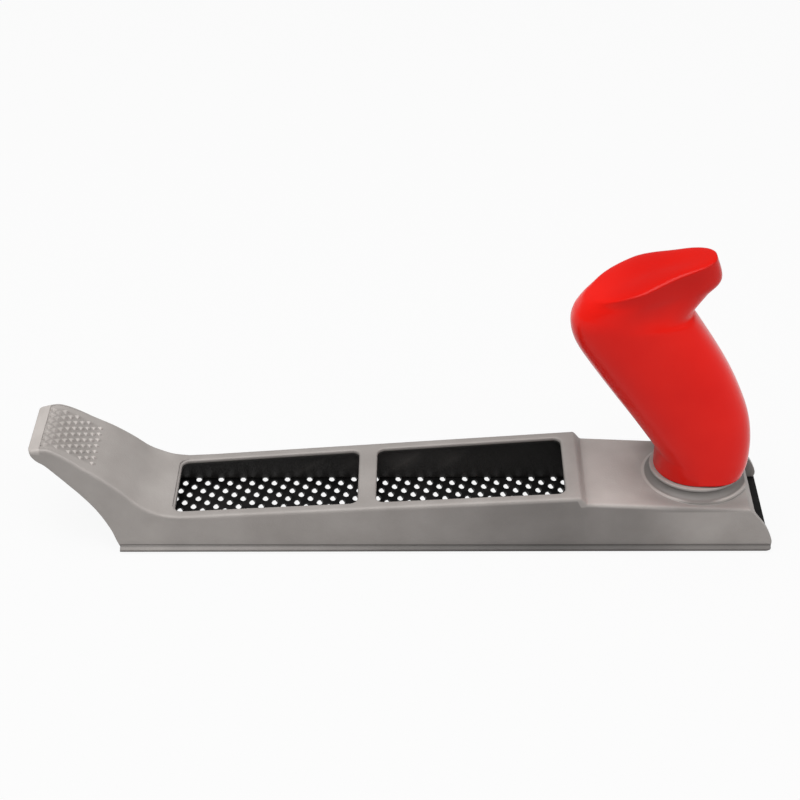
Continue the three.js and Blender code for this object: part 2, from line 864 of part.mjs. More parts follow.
function retainingClip() {
  const start = clipStart();
  const end = start + clipThickness;
  const bore = tensionScrewDiameter / 2 - clipGrooveDepth + seatGap;
  const ring = cylinderX(clipDiameter / 2, start, end, tensionAxisHeight);
  const centre = cylinderX(bore, start - overrun, end + overrun, tensionAxisHeight);
  const mouth = box(
    [start - overrun, -clipMouthWidth / 2, tensionAxisHeight - clipDiameter],
    [end + overrun, clipMouthWidth / 2, tensionAxisHeight],
  );
  return toGeometry(ring.subtract(centre).subtract(mouth));
}

const rasp = new THREE.Group();

function addPiece(name, geometry, material, x = 0, z = 0) {
  const mesh = new THREE.Mesh(geometry, material);
  mesh.name = name;
  mesh.position.set(x, 0, z);
  rasp.add(mesh);
  return mesh;
}

addPiece('body_casting', bodyCasting(), castAluminium);
addPiece('grip', grip(), redMoulding);
addPiece('blade', blade(), blackSteel);
addPiece('hook_plate', hookPlate(), platedSteel);
addPiece('square_nut', squareNut(), platedSteel);
addPiece('tension_screw', tensionScrew(), platedSteel);
addPiece('retaining_clip', retainingClip(), platedSteel);

const tensionWasher = addPiece(
  'tension_washer',
  washer(tensionWasherDiameter, tensionScrewDiameter + holePlay),
  platedSteel,
  bulkheadEnd + seatGap,
  tensionAxisHeight,
);
tensionWasher.rotation.y = Math.PI / 2;

['front', 'rear'].forEach((place, index) => {
  const x = gripScrewPlaces[index];
  const washerZ = bossCeiling - seatGap - washerThickness;
  const ring = washer(gripWasherDiameter, gripScrewDiameter + holePlay);
  addPiece(`grip_screw_${place}`, gripScrew(), platedSteel, x, gripScrewSeat());
  addPiece(`grip_washer_${place}`, ring, platedSteel, x, washerZ);
});

// The origin moves to the middle of the length, on the plane of the tooth tips.
const model = new THREE.Group();
rasp.position.x = -(soleLength - hornReach) / 2;
model.add(rasp);
model.updateMatrixWorld(true);

export default model;
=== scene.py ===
import math
from functools import partial

import bmesh
import bpy
from mathutils import Matrix, Vector


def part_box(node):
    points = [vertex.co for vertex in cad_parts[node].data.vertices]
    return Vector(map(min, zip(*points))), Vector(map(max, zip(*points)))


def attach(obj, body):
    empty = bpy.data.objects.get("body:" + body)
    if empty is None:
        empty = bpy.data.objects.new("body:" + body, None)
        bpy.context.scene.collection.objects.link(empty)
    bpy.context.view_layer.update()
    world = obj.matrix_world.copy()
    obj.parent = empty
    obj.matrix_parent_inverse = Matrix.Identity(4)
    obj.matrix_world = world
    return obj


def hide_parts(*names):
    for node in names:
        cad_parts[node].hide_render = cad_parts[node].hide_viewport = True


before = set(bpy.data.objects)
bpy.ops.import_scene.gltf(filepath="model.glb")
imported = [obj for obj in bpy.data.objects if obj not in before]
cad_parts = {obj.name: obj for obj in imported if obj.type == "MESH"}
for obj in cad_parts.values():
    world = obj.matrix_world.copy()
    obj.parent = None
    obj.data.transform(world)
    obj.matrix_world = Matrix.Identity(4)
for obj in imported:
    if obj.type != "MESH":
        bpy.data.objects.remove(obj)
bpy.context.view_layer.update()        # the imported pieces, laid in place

# Lengths are millimetres along the tool from the toe end of the sole, across from the middle,
# and up from the tooth tips. They turn into metres when a mesh is made.
MM = 0.001
body_low, body_high = (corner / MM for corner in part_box("body_casting"))
blade_low, blade_high = (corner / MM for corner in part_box("blade"))
grip_low, _ = (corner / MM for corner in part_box("grip"))

HORN_REACH = 31.2
SHIFT = -body_low.x - HORN_REACH
SOLE_LENGTH = body_high.x + SHIFT
OVERRUN = 2.0
ROUND_STEPS = 48

# Distances in metres below which points count as one, or as lying on an edge
DOUBLES = 0.00001
CELL_DOUBLES = 0.00002
SHEET_DOUBLES = 0.000001
ON_EDGE = 0.000005

# Casting
RIB_REACH = 1.5
SOLE_HALF = body_high.y - RIB_REACH
SOLE_LIFT = body_low.z
WALL = 1.9
ROOF = 2.2
SHOULDER = 1.5
SHOULDER_STEPS = 6
RIB_EDGE = 1.0
RIB_HEIGHT = 2.0
RIB_START = 0.6
RIB_CHAMFER = 0.15
RIB_SHOULDER = (0.1, 0.05)
LIP = 1.3
REBATE_HALF = SOLE_HALF + RIB_REACH - LIP
EDGE_ROUND = 0.45

HORN_HEIGHT = 44.3
HORN_WIDTH = 28.2
HORN_RUN_OUT = 24.6
HORN_WALL = 3.0
HORN_WEB = 2.4
TOE_SETBACK = 1.2
HORN_STEPS = 56
SPLAY_POWER = 2.6
HORN_TOP_SHARES = [
    (0, 0.966), (0.07, 0.993), (0.147, 0.993), (0.244, 0.902), (0.367, 0.737),
    (0.491, 0.578), (0.615, 0.383), (0.735, 0.17), (0.866, 0.042), (1, 0),
]
HORN_UNDER_SHARES = [
    (0.994, 0.95), (0.917, 0.882), (0.817, 0.838), (0.718, 0.776), (0.551, 0.66),
    (0.388, 0.544), (0.221, 0.4), (0.077, 0.222), (0.013, 0.097),
]
FLARE_SHARE = 0.8
POCKET_SHARES = (0.25, 0.71)
POCKET_STEPS = 30
TIP_ROUND = 1.7
TIP_STEPS = 8
TIP_ROUND_SHARE = 0.017

FRAME_FRONT_HEIGHT = 14.65
FRAME_FRONT_WIDTH = 38.6
FRAME_REAR_HEIGHT = 25.1
FRAME_REAR_WIDTH = 41.7
FRAME_LENGTH = 177.5
FRAME_STEPS = 16
DECK_STEP = 3.5
DECK_FRONT_HEIGHT = 22.0
DECK_REAR_HEIGHT = 18.9
DECK_WIDTH = 41.0
DECK_THICKNESS = 2.6
DECK_STEPS = 8
HEEL_RAKE = 9.7
HEEL_SHARES = [
    (1, 1), (0.65, 0.79), (0.289, 0.541), (0.041, 0.265), (0, 0.144), (0.07, 0.04), (0.258, 0),
]
HEEL_STEPS = 24
DECK_START = FRAME_LENGTH + DECK_STEP
DECK_END = SOLE_LENGTH - HEEL_RAKE

WINDOW_START = 21.8
FRONT_WINDOW = 71.0
REAR_WINDOW = 72.5
CROSS_BAR = 7.2
WINDOW_FRONT_WIDTH = 30.4
WINDOW_REAR_WIDTH = 33.8
WINDOW_CORNER = 3.0
WINDOW_CORNER_STEPS = 8
WINDOW_ROUND = 0.8
WINDOW_ROUND_STEPS = 6
WINDOW_CLEARANCE = 0.2
CROSS_WEB = 2.4
TOE_WALL_END = 4.0
TOE_RIB = (7.0, 2.4)
STEP_RIB = 3.0
CAVITY_STEPS = 8

PLUG_LENGTH = 34.4
PLUG_WIDTH = 30.4
PLUG_HEIGHT = 20.0
BOSS_X = 223.95
BOSS_TOP = 25.2
BOSS_PLATE = 3.2
BOSS_LEDGE = 0.6
BOSS_FLARE = 2.8
BOSS_SINK = 1.0
BOSS_STEPS = 56
BOSS_SHARES = [
    (0, 1), (0.2, 1), (0.27, 0.99), (0.31, 0.93), (0.325, 0.82), (0.34, 0.66), (0.38, 0.42),
    (0.46, 0.18), (0.56, 0), (0.66, -0.1), (0.76, -0.14), (0.8, -0.04), (0.84, 0.05),
    (0.95, 0.06), (1, 0),
]
OVAL_STEPS = 96
POCKET_INSET = 2.8
GRIP_SCREW_REACH = 8.6
SCREW_BORE = 2.8

# Grip
GRIP_LENGTH = 71.2
GRIP_HEIGHT = 92.6
GRIP_BACK_REACH = 19.3
GRIP_BASE_WIDTH = 30.0
GRIP_TOP_WIDTH = 26.4
GRIP_CROWN = 1.5
GRIP_BOW = 1.6
GRIP_BOW_START = 0.6
GRIP_STEPS = 90
GRIP_SEGMENTS = 96
GRIP_SQUARENESS = 2.4
GRIP_FRONT_SHARES = [
    (0.581, 0.005), (0.539, 0.054), (0.463, 0.149), (0.343, 0.285), (0.226, 0.413),
    (0.111, 0.543), (0.038, 0.632), (0.007, 0.691), (0, 0.738), (0.011, 0.775),
    (0.03, 0.802), (0.046, 0.82), (0.064, 0.836), (0.09, 0.851),
]
GRIP_BACK_SHARES = [
    (0.982, 0.005), (0.999, 0.059), (0.997, 0.167), (0.971, 0.275), (0.92, 0.379),
    (0.861, 0.476), (0.792, 0.571), (0.709, 0.673), (0.64, 0.754), (0.614, 0.781),
    (0.634, 0.812), (0.691, 0.877), (0.746, 0.935), (0.712, 1.027),
]
BEAK_SHARE = 0.28
BEAK_START_SHARES = (0.6, 0.95)
PINCH_SHARES = (0.35, 0.75)
CROWN_SHARES = [
    (0.004, 0.1), (0.012, 0.2), (0.03, 0.32), (0.07, 0.48), (0.14, 0.65), (0.25, 0.81),
    (0.42, 0.93), (0.7, 1),
]
CROWN_SOFTNESS = 0.5
CROWN_FRONT_SHARE = 0.6
PLUG_SHARES = [(0, 0.955), (0.02, 0.965), (0.7, 0.965), (1, 0.9)]

# Blade
BLADE_SHEET = 0.7
TOOTH_DROP = 0.5
TOOTH_LEAN = 0.3
TOOTH_SPREAD = (0.1, 0.75)
SLOPE_SPREAD = (0.2, 0.9)
SLOPE_PLACE = 0.45
SLOPE_DROP = 0.55
HOOK_HALF = 11.0
HOOK_HEIGHT = 6.0
HOOK_FOOT = 0.05
SEAT_GAP = 0.3
SLOT_HALF = 4.5
SLOT_PLACE = 9.0
SLOT_X = (214.5, 221.6)
HOLE_PITCH = 9.02
ROW_SPACING = 2.42
ROW_SHIFT = 3.79
HOLE_LENGTH = 2.6
HOLE_WIDTH = 3.6
HOLE_ROWS = 17
HOLE_COLUMNS = 33
SPARE_ROWS = 2
SPARE_COLUMNS = 3
HOLE_SIDES = 12
FIRST_HOLE_X = 17.88
FIRST_ROW_MARGIN = 2.1
HEEL_MARGIN = 9.0
BLADE_BOTTOM = TOOTH_DROP
BLADE_TOP = BLADE_BOTTOM + BLADE_SHEET
RIB_FOOT = BLADE_TOP + SEAT_GAP
BLADE_HALF = blade_high.y
BLADE_TOE = blade_low.x + SHIFT
BLADE_HEEL = blade_high.x + SHIFT
BULKHEAD = (SOLE_LENGTH - 18.0, 3.4)

# Tension screw and its washer
SCREW_AXIS = 8.0
SCREW_RADIUS = 2.5
SCREW_HEAD_RADIUS = 4.4
SCREW_HEAD_EDGE = 0.3
SCREW_TIP = 207.3
SCREW_TIP_TAPER = 0.7
SCREW_SEAT = 239.3
SCREW_END = 243.3
SCREW_MIDDLE = 0.3
DRIVER_SLOT = (1.6, 0.6)
GROOVE = (232.7, 234.15)
GROOVE_RADIUS = 2.0
THREAD_START = 0.5
THREAD_PITCH = 0.8
THREAD_DEPTH = 0.4
THREAD_TURNS = 29
WASHER_RADIUS = 5.0
WASHER_MIDDLE = 4.0
WASHER_THICKNESS = 1.0
WASHER_EDGE = 0.15

# Pips under the fingers, and the shallow pad that they stand in
PIP_COLUMNS = 9
PIP_ROWS = 7
PIP_HALF_LENGTH = 1.8
PIP_HALF_WIDTH = 1.5
PIP_ROW_SPACING = 3.6
PIP_SLOPE_SHARES = (0.165, 0.487)
PIP_RISE = 0.6
# Painted highlight: the pips are painted lighter than the rest of the casting
PIP_PAINTED_LIGHTNESS = 1.3
PAD_SHARES = (0.125, 0.56)
PAD_STEPS = 24
PAD_DEPTH = 0.35
PAD_RISE = 1.2
PAD_BORDER = 1.3
PIP_PROFILE = [(1.0, -PAD_DEPTH - 0.1), (0.95, -PAD_DEPTH), (0.3, PIP_RISE)]

# Colours, and how far up the grip's painted shade turns it darker
CAST_COLOURS = [(0.31, 0.285, 0.268), (0.372, 0.345, 0.327)]
RED_COLOURS = [(0.74, 0.008, 0.004), (0.8, 0.012, 0.006)]
BLACK_COLOURS = [(0.006, 0.006, 0.006), (0.016, 0.015, 0.015)]
STEEL_COLOURS = [(0.5, 0.5, 0.49), (0.62, 0.62, 0.6)]
PATCH_EDGES = (0.3, 0.7)
BEVEL_SAMPLES = 6
GRIP_SHADE_HEIGHTS = (100, 117)
GRIP_TOP_SHADE = 0.74

# Painted light and shade: zones of the casting whose colour is painted lighter or darker to stand
# in for light and shade, each with its change of shade, then the limits. A limit is a measure, the
# value where the zone isn't felt and the value where it is felt in full. Beside the places there
# are below (depth under the top), inward (distance in from the channel's walls), from_boss
# (distance from the boss's middle, along the tool) and oval (1 at the boss's foot, less within it).
ZONES = {
    # Painted shade in the hollow flank of the boss, under its lip
    "painted shade on the boss flank": (-0.46, ("z", 20.05, 20.35), ("z", 24.15, 23.85), ("oval", 1.01, 0.99)),
    # Painted highlight along the lip of the boss
    "painted highlight on the boss lip": (0.12, ("z", 23.95, 24.25), ("z", 25.55, 25.25), ("x", 195, 197)),
    # Painted highlight: the outer rim of the boss, lighter to the left and right of its middle, like
    # a glint
    "painted highlight on the boss rim": (
        1.2, ("oval", 0.94, 0.97), ("oval", 1.015, 0.985), ("z", 19.9, 20.1), ("z", 21.3, 21.1),
        ("from_boss", 3, 10),
    ),
    # Painted shadow on the deck next to the boss, under the grip
    "painted shadow beside the boss": (
        -0.28, ("oval", 1.0, 1.01), ("oval", 1.5, 1.1), ("across", 10, 17), ("z", 17.6, 18.4),
    ),
    # Painted shade on the rib along the foot, darker than the light makes it
    "painted shade on the foot rib": (-0.36, ("across", 21.3, 21.8), ("z", 2.7, 2.3)),
    # More painted shade on the rib, growing towards the rear
    "painted shade on the rear of the rib": (-0.35, ("across", 21.3, 21.8), ("z", 2.7, 2.3), ("x", 45, 125)),
    # Painted shade: a dark line in the crease above the rib
    "painted shade line over the rib": (-0.5, ("across", 21.0, 21.5), ("z", 2.2, 2.5), ("z", 3.25, 2.95)),
    # Painted shade: a dark line low down, below the rib
    "painted shade line under the rib": (-0.5, ("across", 21.0, 21.5), ("z", 0.1, 0.3), ("z", 1.3, 1.1)),
    # Painted highlight: the tip of the horn, lighter where the light catches it
    "painted highlight on the horn tip": (0.35, ("x", -26.2, -27.2), ("z", 41.6, 42.6)),
    # Painted shade on the floor of the sunk pad, between the pips
    "painted shade in the finger pad": (-0.15, ("x", -27, -23), ("x", -7, -11), ("across", 12.5, 11), ("z", 30, 33)),
    # Painted shade: the frame a little darker than the light makes it
    "frame": (-0.12, ("x", 15, 25), ("x", 185, 175)),
    # Painted light: the top of the deck lifted where the grip's shadow falls
    "deck": (0.14, ("x", 180, 183), ("x", 212, 196), ("below", 1.2, 0.6)),
    # Painted shade: the side walls darker than the light makes them
    "sides": (-0.38, ("x", 80, 175), ("x", 228, 195), ("below", 0.8, 1.8)),
    # Painted shade: the channel's inner walls painted near black, as deep shade inside
    "channel": (
        -0.88, ("x", 3.0, 3.8), ("x", sum(BULKHEAD), sum(BULKHEAD) - 0.8),
        ("inward", -0.15, 0.15), ("below", 1.0, 1.5),
    ),
}
# Where the channel's inner walls lie, for their painted shade, and how softly the top steps down to
# the deck
CHANNEL_WALL = 1.6
CHANNEL_LEANS = (0.209, 0.056)
STEP_SOFTNESS = 1.0

# Floor, lights and camera. Places of the lights and the camera's distance are metres.
FLOOR_SIZE = 40
FLOOR_GAP = 0.0001
FLOOR_COLOUR = (0.5, 0.5, 0.5, 1)
FLOOR_GLOW = 0.92
ROOM_LIGHT = 0.3
WHITE = (1, 1, 1, 1)
LIGHT_TARGET = (0, 0, 0.03)
CAMERA_ANGLES = (37.28, 1.055, -0.809)
CAMERA_TARGET = (109.5, 56.5)
CAMERA_DISTANCE = 0.645
CAMERA_LENS = 76.775
CAMERA_SENSOR = 36
CAMERA_CLIP = 0.01


def between(start, end, share):
    return start + (end - start) * share


def smoothstep(value, low, high):
    share = min(1.0, max(0.0, (value - low) / (high - low)))
    return share * share * (3 - 2 * share)


def spline(points, share):
    """A point on the smooth curve through points, at a share of the way from first to last."""
    last = len(points) - 1
    index = min(int(share * last), last)
    weight = share * last - index
    before, start, end, after = (
        Vector(points[min(max(index + step, 0), last)]) for step in (-1, 0, 1, 2)
    )
    leave = (end - before) / 2
    arrive = (after - start) / 2
    cubic = (start - end) * 2 + leave + arrive
    square = (end - start) * 3 - leave * 2 - arrive
    return ((cubic * weight + square) * weight + leave) * weight + start


def shares(steps):
    """Even shares from none to all."""
    return [step / steps for step in range(steps + 1)]


def circle(radius, steps=ROUND_STEPS):
    turns = [2 * math.pi * step / steps for step in range(steps)]
    return [(radius * math.cos(turn), radius * math.sin(turn)) for turn in turns]


def placed(name, data):
    made = bpy.data.objects.new(name, data)
    bpy.context.scene.collection.objects.link(made)
    return made


def mesh_object(name, points, faces, edges=(), shift=SHIFT):
    """A mesh object from millimetre points, with its place in the mesh."""
    mesh = bpy.data.meshes.new(name)
    row_points = [((x - shift) * MM, y * MM, z * MM) for x, y, z in points]
    mesh.from_pydata(row_points, edges, faces)
    mesh.update()
    return placed(name, mesh)


def ring_object(name, rings):
    """A closed skin through rings of equal count, with a fan of faces at each end."""
    count = len(rings[0])
    points = [point for ring in rings for point in ring]
    faces = []
    for start in range(0, len(points) - count, count):
        for k in range(count):
            a, b = start + k, start + (k + 1) % count
            faces.append((a, b, b + count, a + count))
    last = len(points) - count
    for ring in (rings[0], rings[-1]):
        points.append(sum((Vector(point) for point in ring), Vector()) / count)
    for k in range(count):
        following = (k + 1) % count
        faces.append((len(points) - 2, following, k))
        faces.append((len(points) - 1, last + k, last + following))
    return mesh_object(name, points, faces)


def prism_object(name, outline, to_point, start, end):
    """An outline drawn from start to end. to_point(outline_point, along) gives each corner."""
    rings = [[to_point(point, along) for point in outline] for along in (start, end)]
    count = len(outline)
    points = rings[0] + rings[1]
    faces = [tuple(reversed(range(count))), tuple(range(count, 2 * count))]
    faces += [(k, (k + 1) % count, count + (k + 1) % count, count + k) for k in range(count)]
    made = mesh_object(name, points, faces)
    outward(made)
    return made


def box_object(name, low, high):
    outline = [(low[0], low[1]), (high[0], low[1]), (high[0], high[1]), (low[0], high[1])]
    return prism_object(name, outline, lambda p, z: (p[0], p[1], z), low[2], high[2])


def cylinder_object(name, radius, start, end, place):
    return prism_object(name, circle(radius), place, start, end)


def outward(piece):
    """Merge the doubles of a closed mesh and turn its faces outwards."""
    work = bmesh.new()
    work.from_mesh(piece.data)
    bmesh.ops.remove_doubles(work, verts=work.verts, dist=DOUBLES)
    bmesh.ops.recalc_face_normals(work, faces=work.faces)
    work.to_mesh(piece.data)
    work.free()


def evaluated_mesh(piece):
    graph = bpy.context.evaluated_depsgraph_get()
    return bpy.data.meshes.new_from_object(piece.evaluated_get(graph))


def carve(piece, tools, operation="DIFFERENCE"):
    """Join or cut with each tool in turn, then drop the tools."""
    for tool in tools:
        step = piece.modifiers.new("carve", "BOOLEAN")
        step.operation = operation
        step.solver = "MANIFOLD"
        step.object = tool
        fresh = evaluated_mesh(piece)
        piece.modifiers.remove(step)
        old = piece.data
        piece.data = fresh
        bpy.data.meshes.remove(old)
        bpy.data.objects.remove(tool)
    return piece


def smooth_shading(piece, degrees=30):
    piece.data.polygons.foreach_set("use_smooth", [True] * len(piece.data.polygons))
    piece.data.set_sharp_from_angle(angle=math.radians(degrees))


def casting_ring(top, low, top_half, low_half, radius):
    """One cross-section of the casting: leaning sides and rounded shoulders."""
    height = (top - low).length
    reach = min(radius, height / 2)
    side = Vector((between(top_half, low_half, reach / height), height - reach))
    corner = Vector((top_half, height))
    crown = Vector((top_half - reach, height))
    right = [Vector((low_half, 0))]
    for t in shares(SHOULDER_STEPS):
        right.append(side * (1 - t) ** 2 + corner * 2 * t * (1 - t) + crown * t * t)
    left = [Vector((-point.x, point.y)) for point in reversed(right)]
    ring = []
    for point in right + left:
        place = low.lerp(top, point.y / height)
        ring.append((place.x, point.x, place.y))
    return ring


HORN_TOP = [
    (between(-HORN_REACH, HORN_RUN_OUT, u), between(FRAME_FRONT_HEIGHT, HORN_HEIGHT, v))
    for u, v in HORN_TOP_SHARES
]
HORN_UNDER = [(-HORN_REACH * u, HORN_HEIGHT * v) for u, v in HORN_UNDER_SHARES]
HORN_UNDER.append((TOE_SETBACK, SOLE_LIFT))


def horn_station(share):
    top = spline(HORN_TOP, share)
    low = spline(HORN_UNDER, share)
    along = (top.x + HORN_REACH) / (HORN_RUN_OUT + HORN_REACH)
    drop = max(0.0, 1 - low.y / HORN_HEIGHT)
    top_half = between(HORN_WIDTH, FRAME_FRONT_WIDTH, min(along / FLARE_SHARE, 1.0)) / 2
    low_half = between(top_half, SOLE_HALF, drop ** SPLAY_POWER)
    return top, low, top_half, low_half


def frame_share(x):
    return (x - HORN_RUN_OUT) / (FRAME_LENGTH - HORN_RUN_OUT)


def frame_height(x):
    return between(FRAME_FRONT_HEIGHT, FRAME_REAR_HEIGHT, frame_share(x))


def frame_width(x):
    return between(FRAME_FRONT_WIDTH, FRAME_REAR_WIDTH, frame_share(x))


def deck_height(x):
    return between(DECK_FRONT_HEIGHT, DECK_REAR_HEIGHT, (x - DECK_START) / (DECK_END - DECK_START))


def casting_hull():
    rings = []
    for step in range(-TIP_STEPS, HORN_STEPS + 1):
        share = step / HORN_STEPS if step > 0 else TIP_ROUND_SHARE * (1 + step / TIP_STEPS) ** 2
        top, low, top_half, low_half = horn_station(share)
        inward = min(1.0, max(0.0, 1 - (top.x + HORN_REACH) / TIP_ROUND))
        corner = TIP_ROUND * (1 - math.sqrt(1 - inward * inward))
        rings.append(casting_ring(top, low, top_half - corner, low_half - corner, SHOULDER))
    stations = []
    for share in shares(FRAME_STEPS)[1:]:
        x = between(HORN_RUN_OUT, FRAME_LENGTH, share)
        stations.append((x, frame_height(x), frame_width(x)))
    for share in shares(DECK_STEPS)[1:]:
        x = between(FRAME_LENGTH, DECK_START, share)
        height = between(FRAME_REAR_HEIGHT, DECK_FRONT_HEIGHT, smoothstep(share, 0, 1))
        stations.append((x, height, between(FRAME_REAR_WIDTH, DECK_WIDTH, share)))
    for share in shares(DECK_STEPS)[1:]:
        x = between(DECK_START, SOLE_LENGTH + OVERRUN, share)
        stations.append((x, deck_height(x), DECK_WIDTH))
    for x, height, width in stations:
        top, low = Vector((x, height)), Vector((x, SOLE_LIFT))
        rings.append(casting_ring(top, low, width / 2, SOLE_HALF, SHOULDER))
    return ring_object("casting_hull", rings)


def foot_rib(side):
    outer = SOLE_HALF + RIB_REACH
    inner = SOLE_HALF - WALL / 2
    edge = SOLE_LIFT + RIB_EDGE
    shoulder_in, shoulder_up = RIB_SHOULDER
    outline = [
        (inner, SOLE_LIFT), (outer - RIB_CHAMFER, SOLE_LIFT), (outer, SOLE_LIFT + RIB_CHAMFER),
        (outer, edge - shoulder_in), (outer - shoulder_in, edge + shoulder_up),
        (inner, SOLE_LIFT + RIB_HEIGHT),
    ]
    return prism_object(
        "foot_rib", [(y * side, z) for y, z in outline],
        lambda p, x: (x, p[0], p[1]), RIB_START, SOLE_LENGTH + OVERRUN,
    )


def oval(half_length, half_width, z, steps=OVAL_STEPS):
    return [(BOSS_X + half_length * u, half_width * v, z) for u, v in circle(1, steps)]


def boss_object():
    foot = deck_height(BOSS_X) - BOSS_SINK
    section = [spline(BOSS_SHARES, share) for share in shares(BOSS_STEPS)]
    length, width = PLUG_LENGTH / 2 + BOSS_LEDGE, PLUG_WIDTH / 2 + BOSS_LEDGE
    return ring_object("boss", [
        oval(length + BOSS_FLARE * out, width + BOSS_FLARE * out, between(foot, BOSS_TOP, up))
        for up, out in section
    ])


def heel_tool():
    curve = [
        (SOLE_LENGTH - HEEL_RAKE * u, between(SOLE_LIFT, DECK_REAR_HEIGHT, v))
        for u, v in HEEL_SHARES
    ]
    outline = [spline(curve, share) for share in shares(HEEL_STEPS)]
    outline = [(min(x, SOLE_LENGTH), z) for x, z in outline]
    clear = SOLE_LENGTH + HEEL_RAKE
    outline.insert(0, (outline[0][0], HORN_HEIGHT))
    outline += [(outline[-1][0], -OVERRUN), (clear, -OVERRUN), (clear, HORN_HEIGHT)]
    reach = 2 * SOLE_HALF
    return prism_object("heel_tool", outline, lambda p, y: (p[0], y, p[1]), -reach, reach)


def cavity_ring(x, roof, top_width):
    low = SOLE_LIFT - OVERRUN
    inner_top = top_width / 2 - WALL
    inner_sole = SOLE_HALF - WALL
    spread = (inner_sole - inner_top) / (roof - SOLE_LIFT)
    return casting_ring(
        Vector((x, roof)), Vector((x, low)), inner_top, inner_sole + spread * OVERRUN, SHOULDER,
    )


def cavity_tool():
    front_roof = FRAME_FRONT_HEIGHT - ROOF
    step_x = FRAME_LENGTH - ROOF
    clear = SOLE_LENGTH + OVERRUN
    rings = [cavity_ring(TOE_WALL_END, front_roof, FRAME_FRONT_WIDTH)]
    for share in shares(CAVITY_STEPS):
        x = between(HORN_RUN_OUT, step_x, share)
        rings.append(cavity_ring(x, frame_height(x) - ROOF, frame_width(x)))
    rings.append(cavity_ring(step_x + DECK_STEP, DECK_FRONT_HEIGHT - DECK_THICKNESS, DECK_WIDTH))
    rings.append(cavity_ring(clear, deck_height(clear) - DECK_THICKNESS, DECK_WIDTH))
    tool = ring_object("cavity_tool", rings)
    web = WINDOW_START + FRONT_WINDOW + (CROSS_BAR - CROSS_WEB) / 2
    wide = 2 * SOLE_HALF
    ribs = [TOE_RIB, (web, CROSS_WEB), (step_x, STEP_RIB), BULKHEAD]
    return carve(tool, [
        box_object("rib", (start, -wide, RIB_FOOT), (start + thickness, wide, HORN_HEIGHT))
        for start, thickness in ribs
    ])


def blade_rebate():
    low = (BLADE_TOE - SEAT_GAP, -REBATE_HALF, -OVERRUN)
    return box_object("blade_rebate", low, (SOLE_LENGTH + OVERRUN, REBATE_HALF, RIB_FOOT))


def window_half(x):
    last = WINDOW_START + FRONT_WINDOW + CROSS_BAR + REAR_WINDOW
    share = (x - WINDOW_START) / (last - WINDOW_START)
    return between(WINDOW_FRONT_WIDTH, WINDOW_REAR_WIDTH, share) / 2


def window_tool(start, length):
    """A rounded window whose rim flares out where it meets the sloping top."""
    end = start + length
    levels = [(-ROOF - OVERRUN, 0.0)]
    for share in shares(WINDOW_ROUND_STEPS):
        angle = share * math.pi / 2
        levels.append((WINDOW_ROUND * (math.sin(angle) - 1), WINDOW_ROUND * (1 - math.cos(angle))))
    levels.append((OVERRUN, WINDOW_ROUND + WINDOW_CLEARANCE))
    rings = []
    for drop, out in levels:
        ring = []
        for index, (x, side) in enumerate([(start, -1), (end, -1), (end, 1), (start, 1)]):
            centre_x = x + WINDOW_CORNER if x == start else x - WINDOW_CORNER
            centre_y = side * (window_half(x) - WINDOW_CORNER)
            for share in shares(WINDOW_CORNER_STEPS):
                angle = math.pi + (index + share) * math.pi / 2
                px = centre_x + (WINDOW_CORNER + out) * math.cos(angle)
                py = centre_y + (WINDOW_CORNER + out) * math.sin(angle)
                ring.append((px, py, frame_height(px) + drop))
        rings.append(ring)
    return ring_object("window_tool", rings)


def horn_pocket(side):
    rings = []
    for share in shares(POCKET_STEPS):
        top, low, top_half, low_half = horn_station(between(*POCKET_SHARES, share))
        height = (top - low).length
        roof = top.lerp(low, HORN_WALL / height)
        mouth = low.lerp(top, -OVERRUN / height)
        inner = HORN_WEB / 2 * side
        corners = [
            (mouth.x, (low_half - HORN_WALL) * side, mouth.y),
            (roof.x, (top_half - HORN_WALL) * side, roof.y),
            (roof.x, inner, roof.y),
            (mouth.x, inner, mouth.y),
        ]
        rings.append(corners if side > 0 else corners[::-1])
    return ring_object("horn_pocket", rings)


def finger_pad():
    """A shallow sunk pad on the horn that fades out towards the windows."""
    rings = []
    for share in shares(PAD_STEPS):
        top, low, top_half, _ = horn_station(between(*PAD_SHARES, share))
        height = (top - low).length
        floor = top.lerp(low, PAD_DEPTH * (1 - PAD_RISE * share) / height)
        clear = top.lerp(low, -OVERRUN / height)
        half = top_half - PAD_BORDER
        rings.append([
            (floor.x, half, floor.y), (clear.x, half, clear.y),
            (clear.x, -half, clear.y), (floor.x, -half, floor.y),
        ])
    return ring_object("finger_pad", rings)


def boss_pocket():
    half_length = PLUG_LENGTH / 2 - POCKET_INSET
    half_width = PLUG_WIDTH / 2 - POCKET_INSET
    low = deck_height(BOSS_X) - DECK_THICKNESS - OVERRUN
    return ring_object("boss_pocket", [
        oval(half_length, half_width, z, ROUND_STEPS) for z in (low, BOSS_TOP - BOSS_PLATE)
    ])


def grip_screw_hole(x):
    low, high = BOSS_TOP - BOSS_PLATE - OVERRUN, BOSS_TOP + OVERRUN
    return cylinder_object("screw_hole", SCREW_BORE, low, high, lambda p, z: (x + p[0], p[1], z))


def axis_hole(name, start, end):
    """A hole on the axis of the tension screw."""
    return cylinder_object(name, SCREW_BORE, start, end, lambda p, x: (x, p[0], SCREW_AXIS + p[1]))


